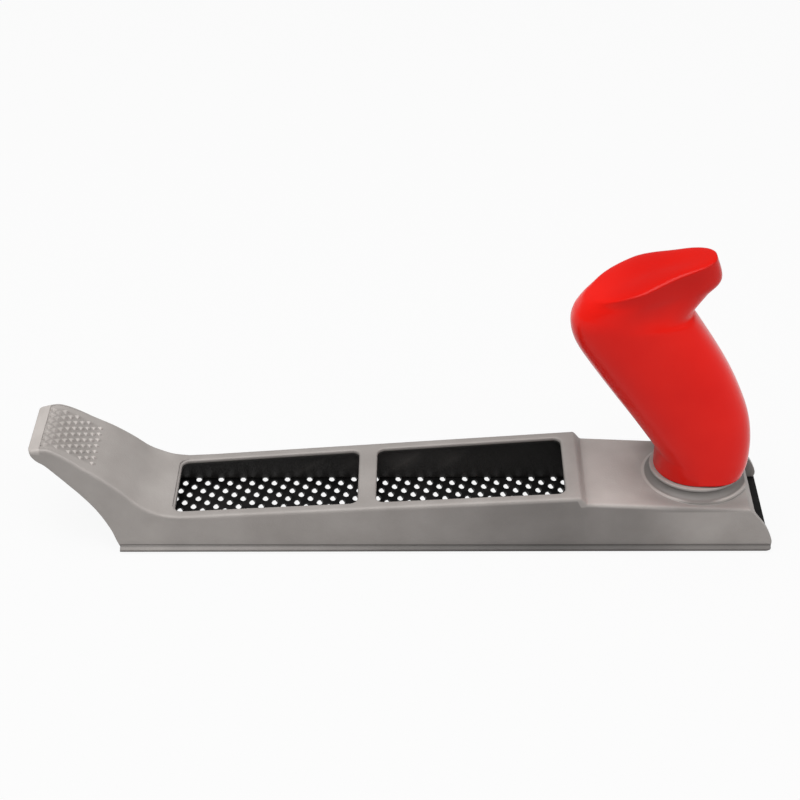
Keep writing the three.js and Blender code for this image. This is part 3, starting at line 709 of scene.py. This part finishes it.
def casting():
    piece = carve(casting_hull(), [foot_rib(1), foot_rib(-1), boss_object()], "UNION")
    rear_start = WINDOW_START + FRONT_WINDOW + CROSS_BAR
    carve(piece, [
        heel_tool(), cavity_tool(), blade_rebate(), finger_pad(), boss_pocket(),
        window_tool(WINDOW_START, FRONT_WINDOW), window_tool(rear_start, REAR_WINDOW),
        horn_pocket(1), horn_pocket(-1),
        grip_screw_hole(BOSS_X - GRIP_SCREW_REACH), grip_screw_hole(BOSS_X + GRIP_SCREW_REACH),
        axis_hole("tension_hole", BULKHEAD[0] - OVERRUN, sum(BULKHEAD) + OVERRUN),
    ])
    piece.name = "casting"
    outward(piece)
    smooth_shading(piece)
    return piece


# A tree of nodes is written as a list of small steps.
def add_node(tree, kind, values=None, **settings):
    made = tree.nodes.new(kind)
    for key, value in settings.items():
        setattr(made, key, value)
    for key, value in (values or {}).items():
        if isinstance(value, bpy.types.NodeSocket):
            tree.links.new(value, made.inputs[key])
        else:
            made.inputs[key].default_value = value
    return made


def maths(tree, operation, *values):
    made = add_node(tree, "ShaderNodeMath", dict(enumerate(values)), operation=operation)
    return made.outputs[0]


def fade(tree, value, low, high, start=0.0, end=1.0, kind="SMOOTHSTEP"):
    made = add_node(tree, "ShaderNodeMapRange", {
        "Value": value, "From Min": low, "From Max": high, "To Min": start, "To Max": end,
    }, interpolation_type=kind)
    return made.outputs["Result"]


def noise(tree, coords, scale, detail):
    made = add_node(tree, "ShaderNodeTexNoise", {"Vector": coords, "Scale": scale, "Detail": detail})
    return made.outputs["Fac"]


def patch_colour(tree, fac, colours):
    """Broad patches between two colours."""
    made = add_node(tree, "ShaderNodeValToRGB", {"Fac": fac})
    for element, place, colour in zip(made.color_ramp.elements, PATCH_EDGES, colours):
        element.position = place
        element.color = (*colour, 1)
    return made.outputs["Color"]


def finish(
    name, colours, roughness, metallic, specular, patches, grain, relief,
    radius=EDGE_ROUND, shade=None,
):
    """A material with patches of colour, a fine grain and rounded edges.

    Patches and grain are a scale and a detail, and relief is the grain's height and strength.
    """
    made = bpy.data.materials.new(name)
    made.use_nodes = True
    tree = made.node_tree
    shader = tree.nodes["Principled BSDF"]
    shader.inputs["Roughness"].default_value = roughness
    shader.inputs["Metallic"].default_value = metallic
    shader.inputs["Specular IOR Level"].default_value = specular
    coords = tree.nodes.new("ShaderNodeTexCoord").outputs["Object"]
    colour = patch_colour(tree, noise(tree, coords, *patches), colours)
    # Painted light and shade, where the material has it, scale the colour
    if shade:
        factors = {0: colour, 1: shade(tree, coords)}
        tinted = add_node(tree, "ShaderNodeVectorMath", factors, operation="MULTIPLY")
        colour = tinted.outputs["Vector"]
    tree.links.new(colour, shader.inputs["Base Color"])
    bevel = add_node(tree, "ShaderNodeBevel", {"Radius": radius * MM}, samples=BEVEL_SAMPLES)
    bump = add_node(tree, "ShaderNodeBump", {
        "Height": noise(tree, coords, *grain), "Distance": relief[0], "Strength": relief[1],
        "Normal": bevel.outputs["Normal"],
    })
    tree.links.new(bump.outputs["Normal"], shader.inputs["Normal"])
    return made


def part_axes(tree, coords):
    """The millimetre place of a point, on the same axes as the sizes above."""
    axes = add_node(tree, "ShaderNodeSeparateXYZ", {"Vector": coords})
    x = maths(tree, "MULTIPLY_ADD", axes.outputs["X"], 1 / MM, SHIFT)
    across = maths(tree, "ABSOLUTE", maths(tree, "DIVIDE", axes.outputs["Y"], MM))
    return x, across, maths(tree, "DIVIDE", axes.outputs["Z"], MM)


def depth_below(tree, x, z):
    """How far a point lies below the top of the frame or the deck."""
    op = partial(maths, tree)
    roof = fade(tree, x, HORN_RUN_OUT, FRAME_LENGTH, FRAME_FRONT_HEIGHT, FRAME_REAR_HEIGHT, "LINEAR")
    past = fade(tree, x, FRAME_LENGTH - STEP_SOFTNESS, FRAME_LENGTH + STEP_SOFTNESS)
    deck = fade(tree, x, DECK_START, DECK_END, 0.0, DECK_REAR_HEIGHT - DECK_FRONT_HEIGHT, "LINEAR")
    deck = op("ADD", deck, DECK_FRONT_HEIGHT - FRAME_REAR_HEIGHT)
    roof = op("ADD", roof, op("MULTIPLY", past, deck))
    return op("SUBTRACT", roof, z)


def casting_measures(tree, coords):
    """The measures that limit the zones, by name."""
    op = partial(maths, tree)
    x, across, z = part_axes(tree, coords)
    from_boss = op("ABSOLUTE", op("SUBTRACT", x, BOSS_X))
    u = op("DIVIDE", from_boss, PLUG_LENGTH / 2 + BOSS_LEDGE + BOSS_FLARE)
    v = op("DIVIDE", across, PLUG_WIDTH / 2 + BOSS_LEDGE + BOSS_FLARE)
    lean = fade(tree, x, HORN_RUN_OUT, FRAME_LENGTH, *CHANNEL_LEANS, "LINEAR")
    wall = op("SUBTRACT", SOLE_HALF - CHANNEL_WALL, op("MULTIPLY", lean, z))
    return {
        "x": x,
        "across": across,
        "z": z,
        "below": depth_below(tree, x, z),
        "inward": op("SUBTRACT", wall, across),
        "from_boss": from_boss,
        "oval": op("SQRT", op("ADD", op("MULTIPLY", u, u), op("MULTIPLY", v, v))),
    }


def casting_painted_light_and_shade(tree, coords):
    """Painted light and shade: how much lighter or darker each zone is painted than the rest."""
    measures = casting_measures(tree, coords)
    shade = 1.0
    for change, *limits in ZONES.values():
        mask = 1.0
        for measure, unfelt, full in limits:
            low, high = sorted((unfelt, full))
            ends = (0.0, 1.0) if unfelt < full else (1.0, 0.0)
            mask = maths(tree, "MULTIPLY", mask, fade(tree, measures[measure], low, high, *ends))
        shade = maths(tree, "MULTIPLY", shade, maths(tree, "MULTIPLY_ADD", mask, change, 1.0))
    return shade


def grip_painted_shade(tree, coords):
    """Painted shade: a little darker towards the top."""
    height = part_axes(tree, coords)[2]
    return fade(tree, height, *GRIP_SHADE_HEIGHTS, 1.0, GRIP_TOP_SHADE)


def cast_aluminium(name="cast_aluminium", painted_lightness=1.0):
    # A value above one paints a lighter copy, the painted highlight of the pips
    colours = [[painted_lightness * part for part in colour] for colour in CAST_COLOURS]
    return finish(
        name, colours, roughness=0.5, metallic=0.1, specular=0.35,
        patches=(60, 5), grain=(1300, 5), relief=(0.0003, 0.3), shade=casting_painted_light_and_shade,
    )


def red_moulding():
    return finish(
        "red_moulding", RED_COLOURS, roughness=0.22, metallic=0.0, specular=0.15,
        patches=(40, 2), grain=(500, 2), relief=(0.0001, 0.08), radius=0.8, shade=grip_painted_shade,
    )


def black_steel():
    return finish(
        "black_steel", BLACK_COLOURS, roughness=0.42, metallic=0.3, specular=0.25,
        patches=(200, 3), grain=(1500, 3), relief=(0.0001, 0.2), radius=0.15,
    )


def plated_steel():
    return finish(
        "plated_steel", STEEL_COLOURS, roughness=0.33, metallic=0.9, specular=0.5,
        patches=(250, 3), grain=(2500, 3), relief=(0.00005, 0.2), radius=0.2,
    )


def grip_point(share):
    front = BOSS_X + GRIP_BACK_REACH - GRIP_LENGTH
    base = grip_low.z
    return front + GRIP_LENGTH * share[0], base + GRIP_HEIGHT * share[1]


def signed_power(value, power):
    return math.copysign(abs(value) ** power, value)


def grip_ring(front, back, share):
    half = between(GRIP_BASE_WIDTH, GRIP_TOP_WIDTH, share) / 2
    beak = BEAK_SHARE * smoothstep(share, *BEAK_START_SHARES)
    bow = GRIP_BOW * smoothstep(share, GRIP_BOW_START, 1)
    ring = []
    for u, v in circle(1, GRIP_SEGMENTS):
        along = (1 + signed_power(u, 2 / GRIP_SQUARENESS)) / 2
        pinch = 1 - beak * smoothstep(along, *PINCH_SHARES)
        place = front.lerp(back, along)
        y = half * pinch * signed_power(v, 2 / GRIP_SQUARENESS)
        ring.append(Vector((place.x, y, place.y + bow * 4 * along * (1 - along))))
    return ring


def grip_object():
    fronts = [grip_point(share) for share in GRIP_FRONT_SHARES]
    backs = [grip_point(share) for share in GRIP_BACK_SHARES]
    rings = []
    for share in shares(GRIP_STEPS):
        rings.append(grip_ring(spline(fronts, share), spline(backs, share), share))
    rim = rings[-1]
    centre = sum(rim, Vector()) / len(rim)
    front_x = min(point.x for point in rim)
    length = max(point.x for point in rim) - front_x
    for inward, up in CROWN_SHARES:
        ring = []
        for point in rim:
            front = 1 - smoothstep((point.x - front_x) / length, 0.0, CROWN_FRONT_SHARE)
            share = inward ** (1 / (1 + CROWN_SOFTNESS * front))
            ring.append(point.lerp(centre, share) + Vector((0, 0, GRIP_CROWN * up)))
        rings.append(ring)
    body = ring_object("grip_moulding", rings)
    plug = ring_object("plug", [
        oval(PLUG_LENGTH / 2 * out, PLUG_WIDTH / 2 * out, grip_low.z + PLUG_HEIGHT * up)
        for up, out in PLUG_SHARES
    ])
    carve(body, [plug], "UNION")
    outward(body)
    smooth_shading(body, degrees=40)
    return body


# The punched sheet is one small cell laid out on a slanting lattice by geometry nodes.
def cell_rim():
    """Points round the edge of a cell, the same number on each side, so that cells meet."""
    step_a = Vector((ROW_SHIFT, -ROW_SPACING))
    step_b = Vector((2 * ROW_SHIFT - HOLE_PITCH, -2 * ROW_SPACING))
    corner_a, corner_b = (step_a - step_b) / 2, (step_a + step_b) / 2
    corners = [corner_a, -corner_b, -corner_a, corner_b]
    per_side = HOLE_SIDES // 4
    rim = []
    for index, corner in enumerate(corners):
        following = corners[(index + 1) % 4]
        rim += [corner.lerp(following, step / per_side) for step in range(per_side)]
    return rim


def blade_cell(name, punched):
    rim = cell_rim()
    count = len(rim)
    points = [(p.x, p.y, BLADE_TOP) for p in rim] + [(p.x, p.y, BLADE_BOTTOM) for p in rim]
    if not punched:
        faces = [tuple(range(count)), tuple(reversed(range(count, 2 * count)))]
        return mesh_object(name, points, faces, shift=0)
    turns = [math.atan2(p.y, p.x) for p in rim]
    holes = []
    for turn in turns:
        holes.append(Vector((HOLE_LENGTH / 2 * math.cos(turn), HOLE_WIDTH / 2 * math.sin(turn))))
    for hole in holes:
        points.append((hole.x, hole.y, BLADE_TOP))
    for hole, turn in zip(holes, turns):
        push = smoothstep(math.cos(turn), *TOOTH_SPREAD)
        points.append((hole.x - TOOTH_LEAN * push, hole.y, BLADE_BOTTOM - TOOTH_DROP * push))
    for p, hole, turn in zip(rim, holes, turns):
        push = smoothstep(math.cos(turn), *SLOPE_SPREAD)
        place = hole.lerp(p, SLOPE_PLACE)
        points.append((place.x, place.y, BLADE_BOTTOM - TOOTH_DROP * SLOPE_DROP * push))
    top, low, top_hole, low_hole, slope = (start * count for start in range(5))
    faces = []
    for k in range(count):
        n = (k + 1) % count
        for first, second in ((top, top_hole), (top_hole, low_hole), (low_hole, slope), (slope, low)):
            faces.append((first + k, first + n, second + n, second + k))
    return mesh_object(name, points, faces, shift=0)


def new_tree(name, objects, counts, lengths):
    """An empty tree of geometry nodes, the sockets of its named inputs and their values."""
    tree = bpy.data.node_groups.new(name, "GeometryNodeTree")
    tree.interface.new_socket(name="Geometry", in_out="OUTPUT", socket_type="NodeSocketGeometry")
    sockets = {}
    for kind, inputs in (("Object", objects), ("Int", counts), ("Float", lengths)):
        for key in inputs:
            sockets[key] = tree.interface.new_socket(
                name=key, in_out="INPUT", socket_type="NodeSocket" + kind,
            )
    return tree, sockets, tree.nodes.new("NodeGroupInput").outputs


def laid_copies(tree, source, points, chosen, **more):
    """Copies of an object on the chosen points."""
    cell = add_node(tree, "GeometryNodeObjectInfo", {"Object": source})
    laid = add_node(tree, "GeometryNodeInstanceOnPoints", {
        "Points": points.outputs["Geometry"],
        "Selection": chosen,
        "Instance": cell.outputs["Geometry"],
        **more,
    })
    return laid.outputs["Instances"]


def sheet_tree(material):
    """Lay punched and plain cells over the whole sheet."""
    tree, sockets, entry = new_tree(
        "punched_sheet", ("Punched cell", "Plain cell"), ("Columns", "Rows", "Spare rows"),
        ("Pitch", "Row spacing", "Row shift", "First x", "First y", "Toe limit", "Heel limit"),
    )
    op = partial(maths, tree)
    last_column = op("SUBTRACT", entry["Columns"], 1)
    last_row = op("SUBTRACT", entry["Rows"], 1)
    grid = add_node(tree, "GeometryNodeMeshGrid", {
        "Size X": last_column,
        "Size Y": last_row,
        "Vertices X": entry["Columns"],
        "Vertices Y": entry["Rows"],
    })
    place = add_node(tree, "ShaderNodeSeparateXYZ", {
        "Vector": tree.nodes.new("GeometryNodeInputPosition").outputs["Position"],
    })
    column = op("ADD", place.outputs["X"], op("DIVIDE", last_column, 2))
    row = op("ADD", place.outputs["Y"], op("DIVIDE", last_row, 2))
    shift = op("FLOORED_MODULO", op("MULTIPLY", row, entry["Row shift"]), entry["Pitch"])
    along = op("ADD", op("MULTIPLY", column, entry["Pitch"]), shift)
    x = op("ADD", entry["First x"], along)
    y = op("SUBTRACT", entry["First y"], op("MULTIPLY", row, entry["Row spacing"]))
    spot = add_node(tree, "ShaderNodeCombineXYZ", {"X": x, "Y": y})
    past_toe = op("GREATER_THAN", x, entry["Toe limit"])
    lengthwise = op("MULTIPLY", past_toe, op("LESS_THAN", x, entry["Heel limit"]))
    past_first = op("GREATER_THAN", row, op("SUBTRACT", entry["Spare rows"], 0.5))
    end_row = op("SUBTRACT", op("SUBTRACT", entry["Rows"], entry["Spare rows"]), 0.5)
    crosswise = op("MULTIPLY", past_first, op("LESS_THAN", row, end_row))
    keep = add_node(tree, "GeometryNodeCaptureAttribute", {"Geometry": grid.outputs["Mesh"]})
    keep.capture_items.new("FLOAT", "Punched")
    tree.links.new(op("MULTIPLY", lengthwise, crosswise), keep.inputs[1])
    moved = add_node(tree, "GeometryNodeSetPosition", {
        "Geometry": keep.outputs["Geometry"], "Position": spot.outputs["Vector"],
    })
    punched = keep.outputs[1]
    join = tree.nodes.new("GeometryNodeJoinGeometry")
    for name, chosen in (("Plain cell", op("SUBTRACT", 1, punched)), ("Punched cell", punched)):
        tree.links.new(laid_copies(tree, entry[name], moved, chosen), join.inputs["Geometry"])
    finish_tree(tree, join.outputs["Geometry"], material)
    return tree, sockets


def finish_tree(tree, geometry, material):
    """Turn the copies into one mesh with its material."""
    solid = add_node(tree, "GeometryNodeRealizeInstances", {"Geometry": geometry})
    merged = add_node(tree, "GeometryNodeMergeByDistance", {
        "Geometry": solid.outputs["Geometry"], "Distance": CELL_DOUBLES,
    })
    painted = add_node(tree, "GeometryNodeSetMaterial", {
        "Geometry": merged.outputs["Geometry"], "Material": material,
    })
    exit_node = tree.nodes.new("NodeGroupOutput")
    tree.links.new(painted.outputs["Geometry"], exit_node.inputs["Geometry"])


def grown_mesh(name, tree, sockets, values):
    """The plain mesh that a tree makes."""
    made = placed(name, bpy.data.meshes.new(name))
    step = made.modifiers.new("grow", "NODES")
    step.node_group = tree
    for key, value in values.items():
        step[sockets[key].identifier] = value
    mesh = evaluated_mesh(made)
    made.modifiers.remove(step)
    made.data = mesh
    return made


def trim_sides(piece, sides):
    """Cut the sheet at its four sides and wall up each cut with one flat face."""
    work = bmesh.new()
    work.from_mesh(piece.data)
    for axis, place in sides:
        way = Vector((1 - axis, axis, 0))
        bmesh.ops.bisect_plane(
            work, geom=work.verts[:] + work.edges[:] + work.faces[:], dist=SHEET_DOUBLES,
            plane_co=way * place, plane_no=way * math.copysign(1, place), clear_outer=True,
        )
    bmesh.ops.remove_doubles(work, verts=work.verts, dist=SHEET_DOUBLES)
    middle = (BLADE_TOP + BLADE_BOTTOM) / 2 * MM
    for axis, place in sides:
        edge = [
            vert for vert in work.verts
            if vert.is_boundary and abs(vert.co[axis] - place) < ON_EDGE
        ]
        edge.sort(key=lambda vert: vert.co[1 - axis])
        upper = [vert for vert in edge if vert.co.z > middle]
        lower = [vert for vert in edge if vert.co.z < middle]
        work.faces.new(upper + lower[::-1])
    work.to_mesh(piece.data)
    work.free()


def blade_object(material):
    first_y = BLADE_HALF - FIRST_ROW_MARGIN + SPARE_ROWS * ROW_SPACING
    first_x = FIRST_HOLE_X - SPARE_ROWS * ROW_SHIFT - SPARE_COLUMNS * HOLE_PITCH
    tree, sockets = sheet_tree(material)
    punched, plain = blade_cell("punched_cell", True), blade_cell("plain_cell", False)
    piece = grown_mesh("blade_sheet", tree, sockets, {
        "Punched cell": punched,
        "Plain cell": plain,
        "Columns": HOLE_COLUMNS,
        "Rows": HOLE_ROWS + 2 * SPARE_ROWS,
        "Spare rows": SPARE_ROWS,
        "Pitch": HOLE_PITCH * MM,
        "Row spacing": ROW_SPACING * MM,
        "Row shift": ROW_SHIFT * MM,
        "First x": (first_x - SHIFT) * MM,
        "First y": first_y * MM,
        "Toe limit": (FIRST_HOLE_X - HOLE_PITCH / 2 - SHIFT) * MM,
        "Heel limit": (SOLE_LENGTH - HEEL_MARGIN - SHIFT) * MM,
    })
    for cell in (punched, plain):
        bpy.data.objects.remove(cell)
    toe, heel, half = (BLADE_TOE - SHIFT) * MM, (BLADE_HEEL - SHIFT) * MM, BLADE_HALF * MM
    trim_sides(piece, ((0, toe), (0, heel), (1, -half), (1, half)))
    outward(piece)
    hook = box_object(
        "hook", (BLADE_TOE, -HOOK_HALF, BLADE_BOTTOM + HOOK_FOOT),
        (BLADE_TOE + BLADE_SHEET, HOOK_HALF, BLADE_BOTTOM + HOOK_HEIGHT),
    )
    carve(piece, [hook], "UNION")
    return carve(piece, [
        box_object(
            "slot", (SLOT_X[0], side * SLOT_PLACE - SLOT_HALF, -OVERRUN),
            (SLOT_X[1], side * SLOT_PLACE + SLOT_HALF, BLADE_TOP + OVERRUN),
        )
        for side in (-1, 1)
    ])


def pip_tree(material):
    """Staggered rows of pips across a line that follows the horn."""
    tree, sockets, entry = new_tree(
        "finger_pips", ("Pip", "Line"), ("Columns", "Rows"), ("Row spacing",),
    )
    op = partial(maths, tree)
    line = add_node(tree, "GeometryNodeObjectInfo", {"Object": entry["Line"]})
    curve = add_node(tree, "GeometryNodeMeshToCurve", {"Mesh": line.outputs["Geometry"]})
    spots = add_node(tree, "GeometryNodeCurveToPoints", {
        "Curve": curve.outputs["Curve"], "Count": entry["Columns"],
    }, mode="COUNT")
    odd = op("FLOORED_MODULO", tree.nodes.new("GeometryNodeInputIndex").outputs["Index"], 2)
    slope = add_node(tree, "ShaderNodeSeparateXYZ", {"Vector": spots.outputs["Tangent"]})
    fall = op("DIVIDE", slope.outputs["Z"], slope.outputs["X"])
    keep = add_node(tree, "GeometryNodeCaptureAttribute", {"Geometry": spots.outputs["Points"]})
    keep.capture_items.new("FLOAT", "Pitch")
    keep.capture_items.new("FLOAT", "Odd")
    tree.links.new(op("MULTIPLY", op("ARCTANGENT", fall), -1), keep.inputs[1])
    tree.links.new(odd, keep.inputs[2])
    copies = add_node(tree, "GeometryNodeDuplicateElements", {
        "Geometry": keep.outputs["Geometry"], "Amount": entry["Rows"],
    }, domain="POINT")
    step = op("MULTIPLY_ADD", keep.outputs[2], 0.5, copies.outputs["Duplicate Index"])
    last = op("SUBTRACT", entry["Rows"], 1)
    across = op("SUBTRACT", step, op("MULTIPLY", last, 0.5))
    offset = add_node(tree, "ShaderNodeCombineXYZ", {
        "Y": op("MULTIPLY", across, entry["Row spacing"]),
    })
    moved = add_node(tree, "GeometryNodeSetPosition", {
        "Geometry": copies.outputs["Geometry"], "Offset": offset.outputs["Vector"],
    })
    turn = add_node(tree, "ShaderNodeCombineXYZ", {"Y": keep.outputs[1]})
    within = op("LESS_THAN", step, op("ADD", last, 0.25))
    laid = laid_copies(tree, entry["Pip"], moved, within, Rotation=turn.outputs["Vector"])
    finish_tree(tree, laid, material)
    return tree, sockets


def pip_cell():
    """One blunt four-sided pip with its foot under the skin."""
    corners = [(PIP_HALF_LENGTH, 0), (0, PIP_HALF_WIDTH), (-PIP_HALF_LENGTH, 0), (0, -PIP_HALF_WIDTH)]
    points = [(share * x, share * y, z) for share, z in PIP_PROFILE for x, y in corners]
    faces = [(3, 2, 1, 0), (8, 9, 10, 11)]
    for start in (0, 4):
        for k in range(4):
            following = start + (k + 1) % 4
            faces.append((start + k, following, following + 4, start + k + 4))
    return mesh_object("pip", points, faces, shift=0)


def finger_pips(material):
    places = [spline(HORN_TOP, between(*PIP_SLOPE_SHARES, share)) for share in shares(PAD_STEPS)]
    edges = [(step, step + 1) for step in range(PAD_STEPS)]
    line = mesh_object("line", [(place.x, 0, place.y) for place in places], [], edges)
    tree, sockets = pip_tree(material)
    pip = pip_cell()
    piece = grown_mesh("finger_pips", tree, sockets, {
        "Pip": pip,
        "Line": line,
        "Columns": PIP_COLUMNS,
        "Rows": PIP_ROWS,
        "Row spacing": PIP_ROW_SPACING * MM,
    })
    for helper in (pip, line):
        bpy.data.objects.remove(helper)
    return piece


def turned_object(name, profile):
    """A profile of places along and radii, turned about the axis of the tension screw."""
    return ring_object(name, [
        [(along, u, SCREW_AXIS + v) for u, v in circle(radius)] for along, radius in profile
    ])


def tension_screw():
    radius, head, edge = SCREW_RADIUS, SCREW_HEAD_RADIUS, SCREW_HEAD_EDGE
    profile = [(SCREW_TIP, SCREW_MIDDLE), (SCREW_TIP, radius - SCREW_TIP_TAPER)]
    for step in range(THREAD_TURNS):
        along = SCREW_TIP + THREAD_START + step * THREAD_PITCH
        profile += [(along, radius), (along + THREAD_PITCH / 2, radius - THREAD_DEPTH)]
    profile += [(GROOVE[0], radius), (GROOVE[0], GROOVE_RADIUS), (GROOVE[1], GROOVE_RADIUS)]
    profile += [(GROOVE[1], radius), (SCREW_SEAT, radius), (SCREW_SEAT, head - edge)]
    profile += [(SCREW_SEAT + edge, head), (SCREW_END - edge, head)]
    profile += [(SCREW_END, head - edge), (SCREW_END, SCREW_MIDDLE)]
    piece = turned_object("tension_screw_visual", profile)
    outward(piece)
    depth, half = DRIVER_SLOT
    carve(piece, [box_object(
        "slot", (SCREW_END - depth, -SOLE_HALF, SCREW_AXIS - half),
        (SCREW_END + OVERRUN, SOLE_HALF, SCREW_AXIS + half),
    )])
    smooth_shading(piece, degrees=35)
    return piece


def tension_washer():
    start = sum(BULKHEAD) + SEAT_GAP
    end = start + WASHER_THICKNESS
    radius, edge = WASHER_RADIUS, WASHER_EDGE
    piece = turned_object("tension_washer_visual", [
        (start, WASHER_MIDDLE), (start, radius - edge), (start + edge, radius),
        (end - edge, radius), (end, radius - edge), (end, WASHER_MIDDLE),
    ])
    outward(piece)
    carve(piece, [axis_hole("bore", start - OVERRUN, start + OVERRUN)])
    smooth_shading(piece, degrees=35)
    return piece


def mix_shaders(tree, factor, first, second, output):
    """Blend from the first shader to the second by the factor."""
    mix = add_node(tree, "ShaderNodeMixShader", {"Fac": factor, 1: first, 2: second})
    tree.links.new(mix.outputs["Shader"], tree.nodes[output].inputs["Surface"])


def stage_floor():
    level = blade_low.z * MM - FLOOR_GAP
    bpy.ops.mesh.primitive_plane_add(size=FLOOR_SIZE, location=(0, 0, level))
    floor = bpy.context.object
    floor.name = "floor"
    made = bpy.data.materials.new("floor")
    made.use_nodes = True
    tree = made.node_tree
    shader = tree.nodes["Principled BSDF"]
    shader.inputs["Base Color"].default_value = FLOOR_COLOUR
    shader.inputs["Roughness"].default_value = 0.9
    shader.inputs["Specular IOR Level"].default_value = 0.0
    path = tree.nodes.new("ShaderNodeLightPath")
    seen = maths(tree, "MAXIMUM", path.outputs["Is Camera Ray"], path.outputs["Is Glossy Ray"])
    seen = maths(tree, "MAXIMUM", seen, path.outputs["Is Transmission Ray"])
    glow = add_node(tree, "ShaderNodeEmission", {"Color": WHITE, "Strength": 1.0})
    factor = maths(tree, "MULTIPLY", seen, FLOOR_GLOW)
    mix_shaders(tree, factor, shader.outputs["BSDF"], glow.outputs["Emission"], "Material Output")
    floor.data.materials.append(made)


def world_light():
    world = bpy.data.worlds.new("studio")
    bpy.context.scene.world = world
    world.use_nodes = True
    tree = world.node_tree
    soft = tree.nodes["Background"]
    soft.inputs["Color"].default_value = WHITE
    soft.inputs["Strength"].default_value = ROOM_LIGHT
    bright = add_node(tree, "ShaderNodeBackground", {"Color": WHITE, "Strength": 1.0})
    seen = tree.nodes.new("ShaderNodeLightPath").outputs["Is Camera Ray"]
    backgrounds = (soft.outputs["Background"], bright.outputs["Background"])
    mix_shaders(tree, seen, *backgrounds, "World Output")


def area_light(name, place, size, power):
    data = bpy.data.lights.new(name, "AREA")
    data.size = size
    data.energy = power
    lamp = placed(name, data)
    lamp.location = place
    aim = Vector(LIGHT_TARGET) - Vector(place)
    lamp.rotation_euler = aim.to_track_quat("-Z", "Y").to_euler()


def studio_camera():
    elevation, azimuth, roll = (math.radians(angle) for angle in CAMERA_ANGLES)
    along, height = CAMERA_TARGET
    target = Vector(((along - SHIFT) * MM, 0, height * MM))
    forward = Vector((
        -math.sin(azimuth) * math.cos(elevation),
        math.cos(azimuth) * math.cos(elevation),
        -math.sin(elevation),
    ))
    level = Vector((math.cos(azimuth), math.sin(azimuth), 0))
    upright = level.cross(forward)
    right = level * math.cos(roll) + upright * math.sin(roll)
    up = right.cross(forward)
    data = bpy.data.cameras.new("camera")
    data.lens = CAMERA_LENS
    data.sensor_width = CAMERA_SENSOR
    data.clip_start = CAMERA_CLIP
    camera = placed("camera", data)
    turn = Matrix((right, up, -forward)).transposed()
    camera.matrix_world = Matrix.Translation(target - forward * CAMERA_DISTANCE) @ turn.to_4x4()
    bpy.context.scene.camera = camera


def dress(piece, material, slot, *nodes, body="rasp_body"):
    """Give a finished piece its material, its body and the nodes that it stands for."""
    piece.data.materials.clear()
    piece.data.materials.append(material)
    if nodes:
        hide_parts(*nodes)
    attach(piece, body)


def repaint(node, material):
    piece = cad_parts[node]
    piece.data.materials.clear()
    piece.data.materials.append(material)


world_light()
stage_floor()
studio_camera()
area_light("key", (-0.25, -0.2, 1.2), size=1.1, power=17)
area_light("rear", (0.9, -0.4, 0.8), size=0.8, power=4.5)

aluminium = cast_aluminium()
red = red_moulding()
black = black_steel()
steel = plated_steel()

dress(casting(), aluminium, "cast_aluminium", "body_casting")
dress(grip_object(), red, "red_moulding", "grip")
sheet = blade_object(black)
smooth_shading(sheet, degrees=35)
dress(sheet, black, "black_steel", "blade")
# A lighter copy of the aluminium paints highlights on the pips
pip_painted_light_aluminium = cast_aluminium("pip_aluminium_painted_light", PIP_PAINTED_LIGHTNESS)
dress(finger_pips(pip_painted_light_aluminium), pip_painted_light_aluminium, "cast_aluminium")

dress(tension_screw(), steel, "plated_steel", "tension_screw", body="tension_screw_body")
dress(tension_washer(), steel, "plated_steel", "tension_washer")

finer = ("body_casting", "grip", "blade", "tension_screw", "tension_washer")
for plain_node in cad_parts:
    if plain_node not in finer:
        repaint(plain_node, steel)

bpy.context.scene.view_settings.view_transform = "Standard"
